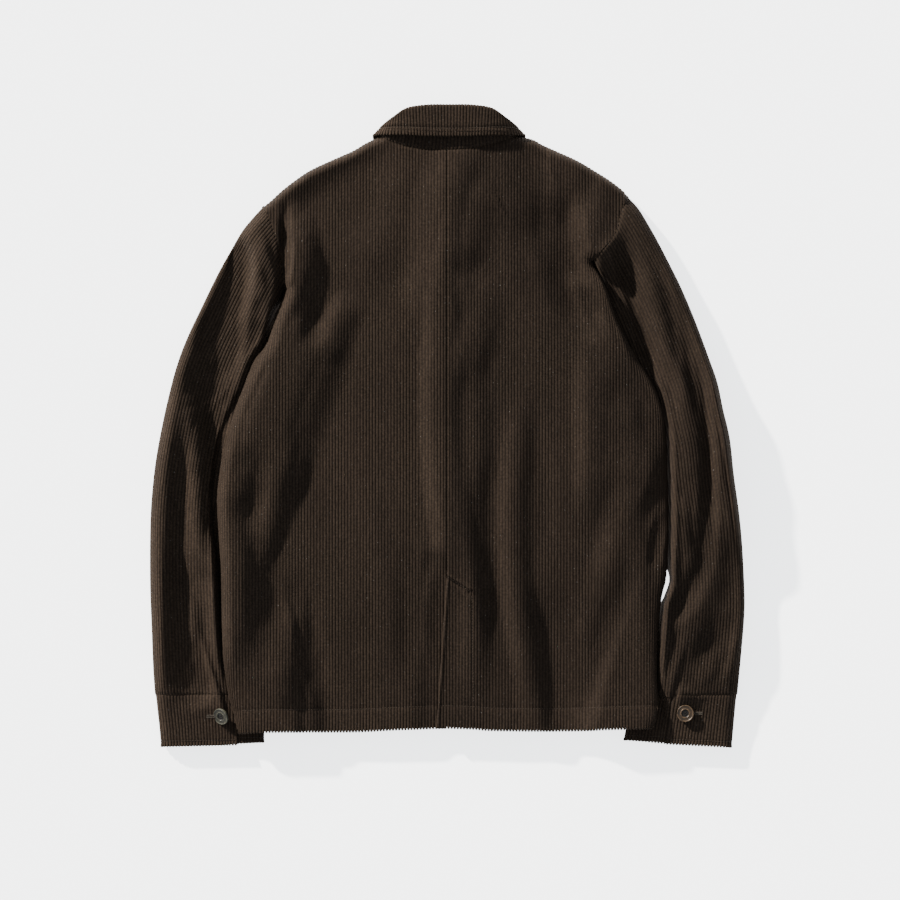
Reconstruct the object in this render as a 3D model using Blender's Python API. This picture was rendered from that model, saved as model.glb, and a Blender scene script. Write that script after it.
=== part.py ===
"""A corduroy jacket lying flat on its front, back side up, with its sleeves drawn in beside the body.

Every piece of cloth is a closed wall of its own, laid out by the outline of the garment and by the
height of the cloth over it. Lengths are in millimetres and become metres when a mesh is made.
+X is the wearer's right, +Y points to the collar, and the front rests on Z = 0.
"""

import math

import bmesh
import bpy
import numpy as np
from mathutils import Matrix, Vector

MM = 0.001

# The middle of the outline, which becomes the origin: x, y
MIDDLE = (0.2, 1.1, 0.0)

# Cloth
WALL = 2.0
SEAM_GAP = 0.3
HEM_WALL = 3.0
HEM_DEPTH = 26.0
EDGE_HEIGHT = 8.0
EDGE_ROLL = 15.0
UNDER_ROLL = 8.0
SIDE_DROP = 0.27
DROP_POWER = 1.5
HALF_WIDTH = 270.0
LAYER_RISE = 13.0

# Where the body lies over a sleeve
PRESSED_SLEEVE = 14.0
LIFT_RUN = 62.0
LIFT_MARGIN = 28.0
UNDERARM_RUN = 30.0
PRESS_RUN = 26.0
PRESS_MARGIN = 12.0

# Centre back vent and centre front overlap
VENT_TOP = -178.0
VENT_LAP = 4.4
VENT_DROP_START = 34.0
VENT_DROP_RUN = 30.0
UNDERLAP = 30.0
UNDERLAP_REACH = 46.0
UNDERLAP_RUN = 28.0
UNDERLAP_SLANT = 19.0
LAP_LIFT = 4.0
LAP_REACH = 50.0
LAP_RUN = 26.0
PLACKET_LIFT = 4.3
PLACKET_REACH = 50.0
PLACKET_RUN = 25.0
FRONT_BUTTONS = 5
FRONT_BUTTON_TOP = 232.0
FRONT_BUTTON_PITCH = 122.0
COLLAR_UNDER_LIFT = 5.0
COLLAR_UNDER_REACH = 80.0
COLLAR_UNDER_RUN = 35.0
COLLAR_UNDER_END = 8.0

# Buttons
BUTTON_RADIUS = 10.0
BUTTON_THICK = 3.6
BUTTON_RIM = 2.6
BUTTON_DISH = 1.3
BUTTON_FOOT_BEVEL = (1.6, 1.3)
BUTTON_RIM_BEVEL = (1.1, 1.1)
BUTTON_RIM_FALL = (0.9, 0.2)
BUTTON_HOLE = 1.0
BUTTON_HOLE_PITCH = 1.9
BUTTON_HOLE_SIDES = 8
BUTTON_SIDES = 20
PLAIN_BUTTON_SIDES = 14
BUTTON_GAP = 0.35
LEFT_CUFF_BUTTON = (-271.2, -348.0)
RIGHT_CUFF_BUTTON = (286.0, -344.3)
CUFF_BUTTON_TO_END = 20.0

# Crown of the body above the surface it lies on: y, height
BODY_CROWN = [
    (-380, 20), (-366, 20.5), (-330, 23), (-260, 30), (-170, 38), (-40, 43),
    (90, 44), (200, 41), (270, 37), (335, 34), (360, 33),
]

# Side edges of the body from the underarm to the hem: x, y
LEFT_SIDE = [
    (-194.5, 164), (-204, 137), (-209, 122), (-217, 98), (-231.5, 79), (-245, 46), (-257, 14),
    (-269, -30), (-275.5, -75), (-275.5, -110), (-272, -170), (-270.5, -240), (-268, -285),
    (-263, -320), (-254.5, -351), (-251.5, -368),
]
RIGHT_SIDE = [
    (175, 197), (184, 181), (192, 163), (200, 138), (210, 115), (228, 82), (246, 53), (256, 29),
    (262.5, -5), (264.5, -60), (265.5, -120), (263.5, -178), (257.5, -205), (253.5, -245),
    (252, -295), (253, -330), (252, -351), (247, -362),
]
# Armhole seams from the underarm to the shoulder tip
LEFT_ARMHOLE = [(-194.5, 164), (-198, 197), (-204, 224), (-210, 242), (-215, 254), (-222, 263)]
RIGHT_ARMHOLE = [(175, 197), (184, 210), (196, 224), (204, 238), (208, 254), (212, 266), (218, 275)]
# Shoulder edges from the shoulder tip to the neck
LEFT_SHOULDER = [
    (-222, 263), (-211, 272), (-198, 284), (-182.5, 296), (-164.5, 308), (-139, 320), (-113, 331.5),
    (-97, 338.5), (-78, 344),
]
RIGHT_SHOULDER = [
    (218, 275), (211, 284), (195.5, 296), (176.5, 308), (156, 320), (129.5, 332), (114, 339),
    (102, 343), (82, 346),
]
BACK_NECK_LEFT = [(-78, 344), (-66, 339.5), (-44, 335), (-20, 332.5), (0, 332)]
BACK_NECK_RIGHT = [(82, 346), (70, 343), (50, 338), (27, 333.5), (0, 332)]
FRONT_NECK_LEFT = [(-78, 344), (-75, 322), (-62, 297), (-38, 276), (-10, 267), (18, 266)]
FRONT_NECK_RIGHT = [(82, 346), (80, 322), (66, 297), (42, 276), (12, 267), (-18, 266)]
HEM_LEFT = [(-251.5, -368), (-212, -366.5), (-116, -366.5), (-60, -364), (0, -362), (30, -361)]
HEM_RIGHT = [(247, -362), (190, -363.5), (140, -365.5), (60, -365), (30, -363), (-13, -361.5)]

# Sleeve outlines from the armhole to the cuff's edge: x, y
LEFT_SLEEVE_OUTER = [
    (-222, 263), (-233, 251), (-246, 235), (-259, 213), (-273, 188), (-285, 164), (-297, 139),
    (-309, 114), (-319, 90), (-327, 66), (-333, 43), (-340, 13), (-348, -28), (-353, -64),
    (-356.5, -112), (-357, -185), (-355, -245), (-353, -295), (-350, -333), (-347, -360), (-345, -383),
]
LEFT_SLEEVE_INNER = [
    (-196.6, 163), (-206.2, 137), (-209.5, 124), (-205, 104), (-196, 76), (-189, 36), (-188, -20),
    (-192, -100), (-201, -200), (-210, -290), (-215, -330), (-216, -380),
]
RIGHT_SLEEVE_OUTER = [
    (218, 275), (230, 262), (240, 246), (252, 225), (266, 198), (280, 170), (293, 140), (304, 112),
    (316, 79), (325, 53), (332, 20), (340, -15), (345, -60), (351, -103), (355, -145), (357.5, -195),
    (357.5, -225), (354, -270), (350, -312), (346.5, -350), (343.5, -384),
]
RIGHT_SLEEVE_INNER = [
    (177.4, 196.5), (187, 181), (194.6, 162), (198, 142), (206, 112), (222, 78), (240, 46), (254, 12),
    (266, -30), (269, -75), (269.5, -130), (268.5, -182), (262, -208), (248, -240), (233, -280),
    (220, -320), (208, -377),
]
# Free height of a sleeve, clear of the body: y, height
LEFT_SLEEVE_CROWN = [
    (-384, 15), (-350, 18), (-322, 23), (-290, 28), (-200, 33), (-60, 35), (60, 35), (160, 33), (270, 30),
]
RIGHT_SLEEVE_CROWN = [
    (-384, 15), (-350, 18), (-322, 23), (-290, 29), (-200, 38), (-60, 42), (60, 40), (160, 35), (280, 30),
]
# The inner edge stands on its seam at the underarm and lies thinner from there on: distances below it
UNDERARM_ROLL = [(60.0, UNDER_ROLL), (10.0, EDGE_ROLL)]
# How the body's press on a sleeve narrows towards the cuff: y, share
CUFF_NARROWING = [(-330.0, 0.35), (-250.0, 1.0)]
# How far from the armhole seam a sleeve keeps the height of the body
SEAM_BLEND = 40.0
UNDERARM_BLEND = 22.0
CUFF_SEAM = -321.0
CUFF_EDGE = -383.0
CUFF_INSET = 1.2
CUFF_LAYERS = 2.6
CUFF_UNDER_SHORT = 2.4
CUFF_UNDER_END = 40.0

# How finely the cloth is divided
BODY_ROWS = [-300.0, -265.0, -230.0, -197.0, -178.0, -150.0, -110.0, -70.0, -30.0, 10.0, 50.0, 90.0]
ARMHOLE_STEPS = 5
ACROSS_STEPS = 4
BACK_COLUMNS = [42.0, 20.0, 0.0]
NECK_TURN = [0.0, 3.0, 9.0, 18.0]
FRONT_COLUMNS = [68.0, 56.0, 43.0, 0.0]
SLEEVE_ROWS = 21
SLEEVE_START = [0.0, 6.0, 14.0, 24.0, 36.0]
CUFF_ROWS = 5
HOOK_STEPS = 4

# Folds: from x, y by way of x, y to x, y, then the width to the -X (or upper) side, the width to the
# other side, and the height of the crest, or the depth of a trough as a minus
BODY_FOLDS = [
    ("centre back crest", 2, 300, 0, 40, -2, -172, 13, 38, 4.2),
    ("left of centre crest", -28, 130, -28, -10, -31, -150, 16, 16, 2.0),
    ("left shoulder roll", -112, 326, -162, 305, -208, 267, 10, 32, 8.5),
    ("left shoulder blade crest", -178, 262, -179, 176, -184, 92, 15, 34, 9.5),
    ("left armhole tuck", -196, 256, -194, 210, -191, 150, 8, 7, -6.0),
    ("left side swell", -160, 104, -192, -28, -238, -160, 38, 46, 11.5),
    ("left lower swell", -250, -118, -248, -206, -247, -290, 14, 36, 8.0),
    ("left waist dent", -238, -40, -240, -95, -247, -140, 26, 18, -6.0),
    ("left hem crest", -189, -172, -192, -262, -180, -350, 26, 22, 6.0),
    ("left hem ripple", -110, -240, -104, -300, -100, -362, 24, 20, 2.2),
    ("left centre ripple", -52, -180, -55, -260, -50, -350, 18, 18, 1.6),
    ("right long crest", 66, 110, 67, -100, 86, -358, 24, 32, 6.5),
    ("right vent trough", 38, -60, 46, -160, 46, -260, 22, 16, -4.5),
    ("right of long crest trough", 112, -90, 116, -210, 132, -352, 22, 24, -4.0),
    ("right shoulder blade crest", 148, 272, 160, 194, 176, 100, 12, 36, 7.0),
    ("right waist crest", 148, 92, 162, 20, 158, -96, 12, 38, 6.0),
    ("right diagonal crest", 262, -84, 206, -150, 172, -262, 22, 28, 6.0),
    ("right lower diagonal crest", 262, -150, 232, -215, 216, -320, 16, 22, 4.0),
    ("right upper diagonal", 78, 150, 50, 110, 16, 66, 14, 16, 1.6),
    ("right yoke crest", 112, 322, 122, 285, 128, 236, 14, 22, 2.4),
    ("right armhole dent", 186, 250, 184, 222, 176, 190, 12, 10, -3.0),
]
LEFT_SLEEVE_FOLDS = [
    ("upper outer trough", -246, 228, -258, 140, -278, 60, 40, 9, -7.5),
    ("upper crest", -236, 240, -240, 152, -248, 42, 10, 30, 5.5),
    ("elbow crease", -320, 84, -292, 14, -272, -28, 13, 28, -7.5),
    ("outer forearm trough", -326, -10, -324, -140, -320, -310, 17, 26, -8.0),
    ("forearm crest", -300, -8, -294, -140, -282, -286, 20, 15, 4.5),
]
RIGHT_SLEEVE_FOLDS = [
    ("inner crest", 222, 232, 257, 84, 284, -110, 15, 28, 6.5),
    ("upper trough", 268, 128, 302, 4, 308, -92, 24, 17, -11.0),
    ("elbow trough", 308, -80, 298, -160, 262, -226, 22, 14, -13.0),
    ("outer crest", 316, 104, 336, -10, 334, -110, 16, 14, 3.5),
    ("forearm crest", 322, -130, 300, -200, 284, -290, 16, 34, 7.5),
    ("lower forearm trough", 306, -236, 300, -276, 292, -312, 12, 12, -4.0),
]

# The collar from the centre back round to the centre front: the place of its foot on the neck seam (0 at
# the centre back, 1 at the shoulder seam, 2 at the centre front), the turn of its outer side away from
# straight up in degrees, then the roll and the outer edge of the fall, each x, y, z, with x from
# COLLAR_CENTRE and the other half mirrored
COLLAR_CENTRE = 2.5
COLLAR_STATIONS = [
    (0.00, 0, 0, 382.6, 44.0, 0, 349.0, 43.5),
    (0.30, 2, 26, 382.4, 43.8, 25, 349.3, 43.3),
    (0.58, 10, 51, 378.8, 42.0, 50, 350.5, 42.0),
    (0.80, 28, 67, 369.4, 37.0, 72, 350.8, 37.0),
    (0.93, 56, 77, 361.5, 27.5, 86, 351.0, 26.0),
    (1.00, 86, 80.5, 357.0, 17.0, 90.5, 351.0, 12.0),
    (1.05, 113, 78.2, 351.5, 10.0, 89.8, 348.0, 4.5),
    (1.12, 145, 75, 343.0, 6.5, 88.5, 340.5, 0.9),
    (1.35, 175, 64, 324.0, 3.7, 88, 300.0, 0.2),
    (1.68, 180, 42, 305.0, 3.7, 68, 250.0, 0.2),
    (2.00, 180, 4, 290.0, 3.7, 42, 214.0, 0.2),
]
ROLL_RADIUS = 3.4
COLLAR_GAP = 0.9
# The stand is cut at the shoulder seams; its front parts begin here on the neck seam and end short of the
# centre front by COLLAR_STOP
STAND_FRONT = 1.12
COLLAR_STOP = 4.0
FALL_ROWS = (0.35, 0.7, 1.0)

COLOURS = {
    "corduroy": ((0.030, 0.019, 0.012, 1.0), 0.92),
    "button": ((0.115, 0.075, 0.045, 1.0), 0.42),
}


def smoothstep(share):
    share = np.clip(share, 0.0, 1.0)
    return share * share * (3.0 - 2.0 * share)


def smooth_max(first, second, blend):
    return 0.5 * (first + second + np.sqrt((first - second) ** 2 + blend**2))


def spline(points, steps=8):
    """A smooth dense polyline through the points."""
    knots = np.array(points, float)
    knots = np.vstack([2 * knots[0] - knots[1], knots, 2 * knots[-1] - knots[-2]])
    t = np.linspace(0.0, 1.0, steps, endpoint=False)[:, None]
    spans = []
    for a, b, c, d in zip(knots, knots[1:], knots[2:], knots[3:]):
        curve = 2 * b + (c - a) * t + (2 * a - 5 * b + 4 * c - d) * t**2 + (3 * b - a - 3 * c + d) * t**3
        spans.append(0.5 * curve)
    return np.vstack(spans + [knots[-2:-1]])


def reach(line):
    """The share of a polyline's length at each of its points."""
    steps = np.linalg.norm(np.diff(line, axis=0), axis=1)
    return np.concatenate([[0.0], np.cumsum(steps)]) / steps.sum()


def along(line, shares):
    """The points at these shares of a polyline's length."""
    places = reach(line)
    return np.stack([np.interp(shares, places, line[:, k]) for k in range(line.shape[1])], axis=-1)


def table(rows, value):
    """A smooth curve through (value, result) rows."""
    line = spline(rows)
    return np.interp(value, line[:, 0], line[:, 1])


def beside(line, distance):
    """A plan line moved sideways, to its left for a positive distance."""
    run = np.gradient(line, axis=0)
    run /= np.linalg.norm(run, axis=1, keepdims=True)
    return line + distance * np.stack([-run[:, 1], run[:, 0]], axis=1)


def cut_at(line, y):
    """The two parts of a line that runs down past this y."""
    k = int(np.argmax(line[:, 1] < y))
    a, b = line[k - 1], line[k]
    at = a + (b - a) * (y - a[1]) / (b[1] - a[1])
    return np.vstack([line[:k], at]), np.vstack([at, line[k:]])


def nearest(x, y, line):
    """Distance to a plan line, the share of its length there, and +1 on its left or -1 on its right."""
    start, run = line[:-1], np.diff(line, axis=0)
    px, py = x[..., None] - start[:, 0], y[..., None] - start[:, 1]
    t = np.clip((px * run[:, 0] + py * run[:, 1]) / (run**2).sum(1), 0.0, 1.0)
    square = (px - t * run[:, 0]) ** 2 + (py - t * run[:, 1]) ** 2
    k = square.argmin(-1)
    places = reach(line)

    def there(values):
        return np.take_along_axis(values, k[..., None], -1)[..., 0]

    share = places[k] + there(t) * (places[k + 1] - places[k])
    side = np.where(there(run[:, 0] * py - run[:, 1] * px) < 0.0, -1.0, 1.0)
    return np.sqrt(there(square)), share, side


def rolled(distance, radius, inset):
    """How far a rolled edge has risen to the flat, 0 to 1, at a distance in from the outer face's edge."""
    share = np.clip((distance - inset) / (radius - inset), 0.0, 1.0)
    return np.sqrt(1.0 - (1.0 - share) ** 2)


def folds(rows, x, y):
    """The height that the folds in a table add at each place."""
    height = np.zeros_like(x)
    for _, x0, y0, x1, y1, x2, y2, first, second, crest in rows:
        ends, middle = np.array([[x0, y0], [x2, y2]], float), np.array([x1, y1], float)
        control = 2.0 * middle - ends.mean(0)
        t = np.linspace(0.0, 1.0, 13)[:, None]
        line = (1 - t) ** 2 * ends[0] + 2 * t * (1 - t) * control + t**2 * ends[1]
        gap, share, side = nearest(x, y, line)
        width = np.where(side < 0.0, first, second)
        taper = smoothstep(np.minimum(share, 1.0 - share) / 0.3)
        height += crest * taper * np.cos(0.5 * math.pi * np.clip(gap / width, 0.0, 1.0)) ** 2
    return height


class Side:
    """The outlines of one half of the jacket, as smooth plan lines."""

    def __init__(self, side, armhole, shoulder, necks, outer, inner, crown, sleeve_folds):
        self.side = spline(side)
        self.armhole = spline(armhole)
        self.shoulder = spline(shoulder)
        self.outer = spline(outer)
        self.inner = spline(inner)
        self.crown = crown
        self.folds = sleeve_folds
        self.sign = math.copysign(1.0, side[0][0])
        self.underarm = side[0][1]
        self.back_neck, self.front_neck = necks
        lap_x = self.front_neck[-1][0]
        self.front_centre = [(lap_x, HEM_LEFT[-1][1]), (lap_x, self.front_neck[-1][1])]


LEFT = Side(
    LEFT_SIDE, LEFT_ARMHOLE, LEFT_SHOULDER, (BACK_NECK_LEFT, FRONT_NECK_LEFT), LEFT_SLEEVE_OUTER,
    LEFT_SLEEVE_INNER, LEFT_SLEEVE_CROWN, LEFT_SLEEVE_FOLDS,
)
RIGHT = Side(
    RIGHT_SIDE, RIGHT_ARMHOLE, RIGHT_SHOULDER, (BACK_NECK_RIGHT, FRONT_NECK_RIGHT), RIGHT_SLEEVE_OUTER,
    RIGHT_SLEEVE_INNER, RIGHT_SLEEVE_CROWN, RIGHT_SLEEVE_FOLDS,
)


def sleeve_lift(x, y):
    """How far the body is held up by the sleeves under its side edges."""
    height = np.zeros_like(x)
    for half in (LEFT, RIGHT):
        gap, _, side = nearest(x, y, half.inner)
        over = gap * side * half.sign
        run = smoothstep((over + LIFT_RUN) / (LIFT_RUN - LIFT_MARGIN))
        height += (PRESSED_SLEEVE + 1.0) * run * smoothstep((half.underarm - y) / UNDERARM_RUN)
    return height


def body_edge_distance(x, y):
    """Distance in from the edges where the back rolls over to the fronts."""
    gaps = [nearest(x, y, line)[0] for half in (LEFT, RIGHT) for line in (half.side, half.shoulder)]
    return np.minimum.reduce(gaps)


def body_crown(x, y):
    """Height of the back before its edges roll over."""
    dome = 1.0 - SIDE_DROP * np.clip(np.abs(x) / HALF_WIDTH, 0.0, 1.2) ** DROP_POWER
    crown = table(BODY_CROWN, y) * dome + folds(BODY_FOLDS, x, y)
    return smooth_max(crown, sleeve_lift(x, y) + LAYER_RISE, 6.0)


def body_top(x, y, inset=0.0, thick=0.0):
    """The outer face of the back, or a face inset from it at its rolled edges and thick below it."""
    edge = EDGE_HEIGHT + 0.5 * SEAM_GAP + sleeve_lift(x, y)
    return edge + (body_crown(x, y) - thick - edge) * rolled(body_edge_distance(x, y), EDGE_ROLL, inset)


def vent_underlap(x, y):
    """How far the left back drops to pass under the right back at the vent."""
    run = smoothstep((VENT_TOP + VENT_DROP_START - y) / VENT_DROP_RUN)
    return VENT_LAP * run * smoothstep((x + UNDERLAP_REACH) / UNDERLAP_RUN)


def collar_lift(x, y):
    """How far the fronts are held up by the fall of the collar under them."""
    height = np.zeros_like(x)
    for sign in (-1.0, 1.0):
        line = [(COLLAR_CENTRE + sign * row[5], row[6]) for row in COLLAR_STATIONS if row[0] >= 1.0]
        gap, _, side = nearest(x, y, np.array(line + [(COLLAR_CENTRE, line[-1][1] - COLLAR_UNDER_END)]))
        run = smoothstep((COLLAR_UNDER_REACH - gap * side * sign) / COLLAR_UNDER_RUN)
        height = np.maximum(height, run)
    return COLLAR_UNDER_LIFT * height


def placket_lift(x):
    """How far the centre front is held up by the buttons under it."""
    return PLACKET_LIFT * smoothstep((PLACKET_REACH - np.abs(x)) / PLACKET_RUN)


def body_under(x, y, inset=0.0, thick=0.0):
    """The outer face of the fronts, flat but for what lies under it, or a face inset and above it."""
    lift = sleeve_lift(x, y)
    floor = np.maximum(lift, np.maximum(collar_lift(x, y), placket_lift(x))) + thick
    edge = EDGE_HEIGHT - 0.5 * SEAM_GAP + lift
    return edge - (edge - floor) * rolled(body_edge_distance(x, y), UNDER_ROLL, inset)


def lap_lift(x):
    """How far the right front is held up by the edge of the left front under it."""
    return LAP_LIFT * smoothstep((LAP_REACH - x) / LAP_RUN)


def sleeve_crown(half, x, y):
    """Height of a sleeve before its edges roll over."""
    free = table(half.crown, y)
    gap, _, side = nearest(x, y, half.side)
    narrowed = np.interp(y, *zip(*CUFF_NARROWING))
    clear = smoothstep((gap * side * half.sign / narrowed - PRESS_MARGIN) / PRESS_RUN)
    squeeze = (1.0 - clear) * smoothstep((half.underarm - y) / UNDERARM_RUN)
    crown = free - (free - PRESSED_SLEEVE) * squeeze + folds(half.folds, x, y) * (1.0 - squeeze)
    seam_gap = nearest(x, y, half.armhole)[0]
    above_arm = smoothstep((y - half.underarm) / UNDERARM_BLEND + 1.0)
    at_seam = (1.0 - smoothstep(seam_gap / SEAM_BLEND)) * above_arm
    return crown + (body_crown(x, y) - crown) * at_seam


def sleeve_faces(half, x, y, inset=0.0):
    """The upper and the under face of a sleeve, or faces inset inside them."""
    crown = sleeve_crown(half, x, y)
    edge = np.minimum(EDGE_HEIGHT, 0.5 * crown)
    below_arm, rolls = zip(*UNDERARM_ROLL)
    inner_roll = np.interp(y, half.underarm - np.array(below_arm), rolls)
    outer_gap, inner_gap = nearest(x, y, half.outer)[0], nearest(x, y, half.inner)[0]
    top = rolled(outer_gap, EDGE_ROLL, inset) * rolled(inner_gap, inner_roll, inset)
    under = rolled(outer_gap, UNDER_ROLL, inset) * rolled(inner_gap, UNDER_ROLL, inset)
    return edge + (crown - inset - edge) * top, edge - (edge - inset) * under


def unit(vectors):
    return vectors / np.linalg.norm(vectors, axis=-1, keepdims=True)


def raise_to(plan, heights):
    """Points at these heights over plan places."""
    return np.concatenate([plan, heights[..., None]], axis=-1)


def coons(left, right, bottom, top):
    """A plan grid between four edges; left and right run up, bottom and top run across."""
    v = 0.5 * (reach(left) + reach(right))[:, None, None]
    u = 0.5 * (reach(bottom) + reach(top))[None, :, None]
    sides = (1 - u) * left[:, None] + u * right[:, None] + (1 - v) * bottom[None] + v * top[None]
    corners = (1 - u) * (1 - v) * bottom[0] + u * (1 - v) * bottom[-1]
    return sides - corners - (1 - u) * v * top[0] - u * v * top[-1]


def length_of(line):
    return np.linalg.norm(np.diff(line, axis=0), axis=1).sum()


def place(line, distances):
    return along(line, np.asarray(distances) / length_of(line))


def turned(inset):
    """Distances in from a rolled edge, close together where it is steep."""
    return inset + (EDGE_ROLL - inset) * (1.0 - np.cos(np.radians([0.0, 22.5, 45.0, 67.5, 90.0])))


def armhole_places(half, inset):
    """Plan places up an armhole seam, from the side edge's roll to the shoulder's."""
    length = length_of(half.armhole)
    between = np.linspace(EDGE_ROLL, length - EDGE_ROLL, ARMHOLE_STEPS + 1)[1:-1]
    return place(half.armhole, np.concatenate([turned(inset), between, length - turned(inset)[::-1]]))


def side_rows(half):
    """The heights of the rows of a body panel, from the hem to just below the underarm."""
    hem_y = half.side[-1, 1]
    near = half.underarm - UNDERARM_RUN
    hem_band = [hem_y, hem_y + 0.5 * HEM_DEPTH, hem_y + HEM_DEPTH, hem_y + HEM_DEPTH + 4.0]
    below_arm = list(np.linspace(BODY_ROWS[-1], near, 3)[1:]) + [near + 15.0, half.underarm - 1.0]
    return np.array(hem_band + BODY_ROWS + below_arm)


def neck_columns(length):
    """Distances from the centre back of the columns that end on a neck seam of this length."""
    return [length - turn for turn in NECK_TURN] + BACK_COLUMNS


def centre_places(half, centre, neck=None):
    """Where the rows of a panel end: up its centre edge, and for a front on round its neck to the shoulder."""
    line = np.array(centre, float)
    low = side_rows(half)
    low[0] = line[0, 1]
    below = np.stack([np.interp(low, line[:, 1], line[:, 0]), low], axis=1)
    start = [np.interp(half.underarm, line[:, 1], line[:, 0]), half.underarm]
    path = np.vstack([start, line[-1:]] if neck is None else [start, spline(neck)[::-1]])
    return np.concatenate([below, along(path, reach(armhole_places(half, 0.0)))])


def panel_plan(half, centre, neck, columns, top_line, inset):
    """The plan of one back or front: rows up from the hem, columns from the side edge to the centre.

    The last columns keep their distances from the centre edge, and the top row bends to the shoulder.
    """
    right = centre_places(half, centre, neck)
    low = side_rows(half)
    side_line = beside(half.side, -half.sign * inset)
    side = np.stack([np.interp(low, side_line[::-1, 1], side_line[::-1, 0]), low], axis=1)
    left = np.concatenate([side, armhole_places(half, inset) - [half.sign * SEAM_GAP, 0.0]])
    line = top_line.copy()
    line[0] = left[-1]
    if neck is not None:
        right[-1] = line[-1]
    run = right - left
    length = np.linalg.norm(run, axis=1)
    length[-1] = length_of(line)
    roll = turned(inset) - inset
    rows = []
    for reach_across in length:
        even = np.linspace(roll[-1], reach_across - columns[0], ACROSS_STEPS + 1)[1:-1]
        rows.append(np.concatenate([roll, even, reach_across - np.array(columns)]) / reach_across)
    share = np.array(rows)
    plan = left[:, None] + share[..., None] * run[:, None]
    bend = along(line, share[-1]) - plan[-1]
    weight = np.concatenate([np.zeros(len(low)), smoothstep(reach(armhole_places(half, 0.0)))])
    return plan + weight[:, None, None] * bend[None]


def wall(outer, inner, ring=False):
    """Points and faces of the closed wall between two grids, joined round their open edges."""
    rows, columns = outer.shape[:2]
    points = np.concatenate([outer.reshape(-1, 3), inner.reshape(-1, 3)])
    grid = np.arange(rows * columns).reshape(rows, columns)
    if ring:
        grid = np.concatenate([grid, grid[:, :1]], axis=1)
    behind = grid + rows * columns
    quads = []
    for face, step in ((grid, 1), (behind, -1)):
        block = np.stack([face[:-1, :-1], face[:-1, 1:], face[1:, 1:], face[1:, :-1]], axis=-1)
        quads.append(block.reshape(-1, 4)[:, ::step])
    edges = [(grid[0], behind[0]), (behind[-1], grid[-1])]
    if not ring:
        edges += [(behind[:, 0], grid[:, 0]), (grid[:, -1], behind[:, -1])]
    for first, second in edges:
        quads.append(np.stack([first[:-1], second[:-1], second[1:], first[1:]], axis=-1))
    return points, np.concatenate(quads).tolist()


def body_panel(name, half, centre, front, height):
    """One back or front as a closed wall, thicker in its hem."""
    faces = []
    for inset in (0.0, WALL):
        shoulder = beside(half.shoulder, half.sign * inset)
        if front:
            shoulder[-1] = place(spline(half.front_neck), [inset])[0]
            plan = panel_plan(half, centre, half.front_neck, FRONT_COLUMNS, shoulder, inset)
        else:
            neck = spline(half.back_neck)
            neck[0] = shoulder[-1]
            top_line = np.concatenate([shoulder, neck[1:]])
            plan = panel_plan(half, centre, None, neck_columns(length_of(neck)), top_line, inset)
        thick = np.full(plan.shape[:2], inset)
        if inset:
            thick[:3] = HEM_WALL
        faces.append(raise_to(plan, height(plan[..., 0], plan[..., 1], inset, thick)))
    return add_solid(name, "corduroy", *wall(*faces))


def sleeve(name, half):
    """A sleeve as one tube from the armhole seam to the cuff seam."""
    faces = []
    for inset in (0.0, WALL):
        places = armhole_places(half, inset)
        inner_line = cut_at(beside(half.inner, half.sign * inset), CUFF_SEAM)[0]
        outer_line = cut_at(beside(half.outer, -half.sign * inset), CUFF_SEAM)[0]
        further = np.linspace(SLEEVE_START[-1], length_of(inner_line), SLEEVE_ROWS - len(SLEEVE_START) + 1)
        inner_edge = place(inner_line, np.concatenate([SLEEVE_START, further[1:]]))
        outer_edge = along(outer_line, np.linspace(0.0, 1.0, SLEEVE_ROWS))
        inner_edge[0], outer_edge[0] = places[0], places[-1]
        end = inner_edge[-1] + reach(places)[:, None] * (outer_edge[-1] - inner_edge[-1])
        plan = coons(inner_edge, outer_edge, places, end)
        if faces:
            plan[1:, 4:-4] = faces[0][1:, 4:len(places) - 4, :2]
        x, y = plan[..., 0], plan[..., 1]
        over, under = sleeve_faces(half, x, y, inset)
        over[0] = body_top(x[0], y[0], inset, inset)
        under[0] = body_under(x[0], y[0], inset, inset)
        top, below = raise_to(plan, over), raise_to(plan, under)
        faces.append(np.concatenate([top, below[:, -2:0:-1]], axis=1))
    return add_solid(name, "corduroy", *wall(*faces, ring=True))


def cuff_height(half, x, y):
    return sleeve_faces(half, x, y, CUFF_INSET)[0]


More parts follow.
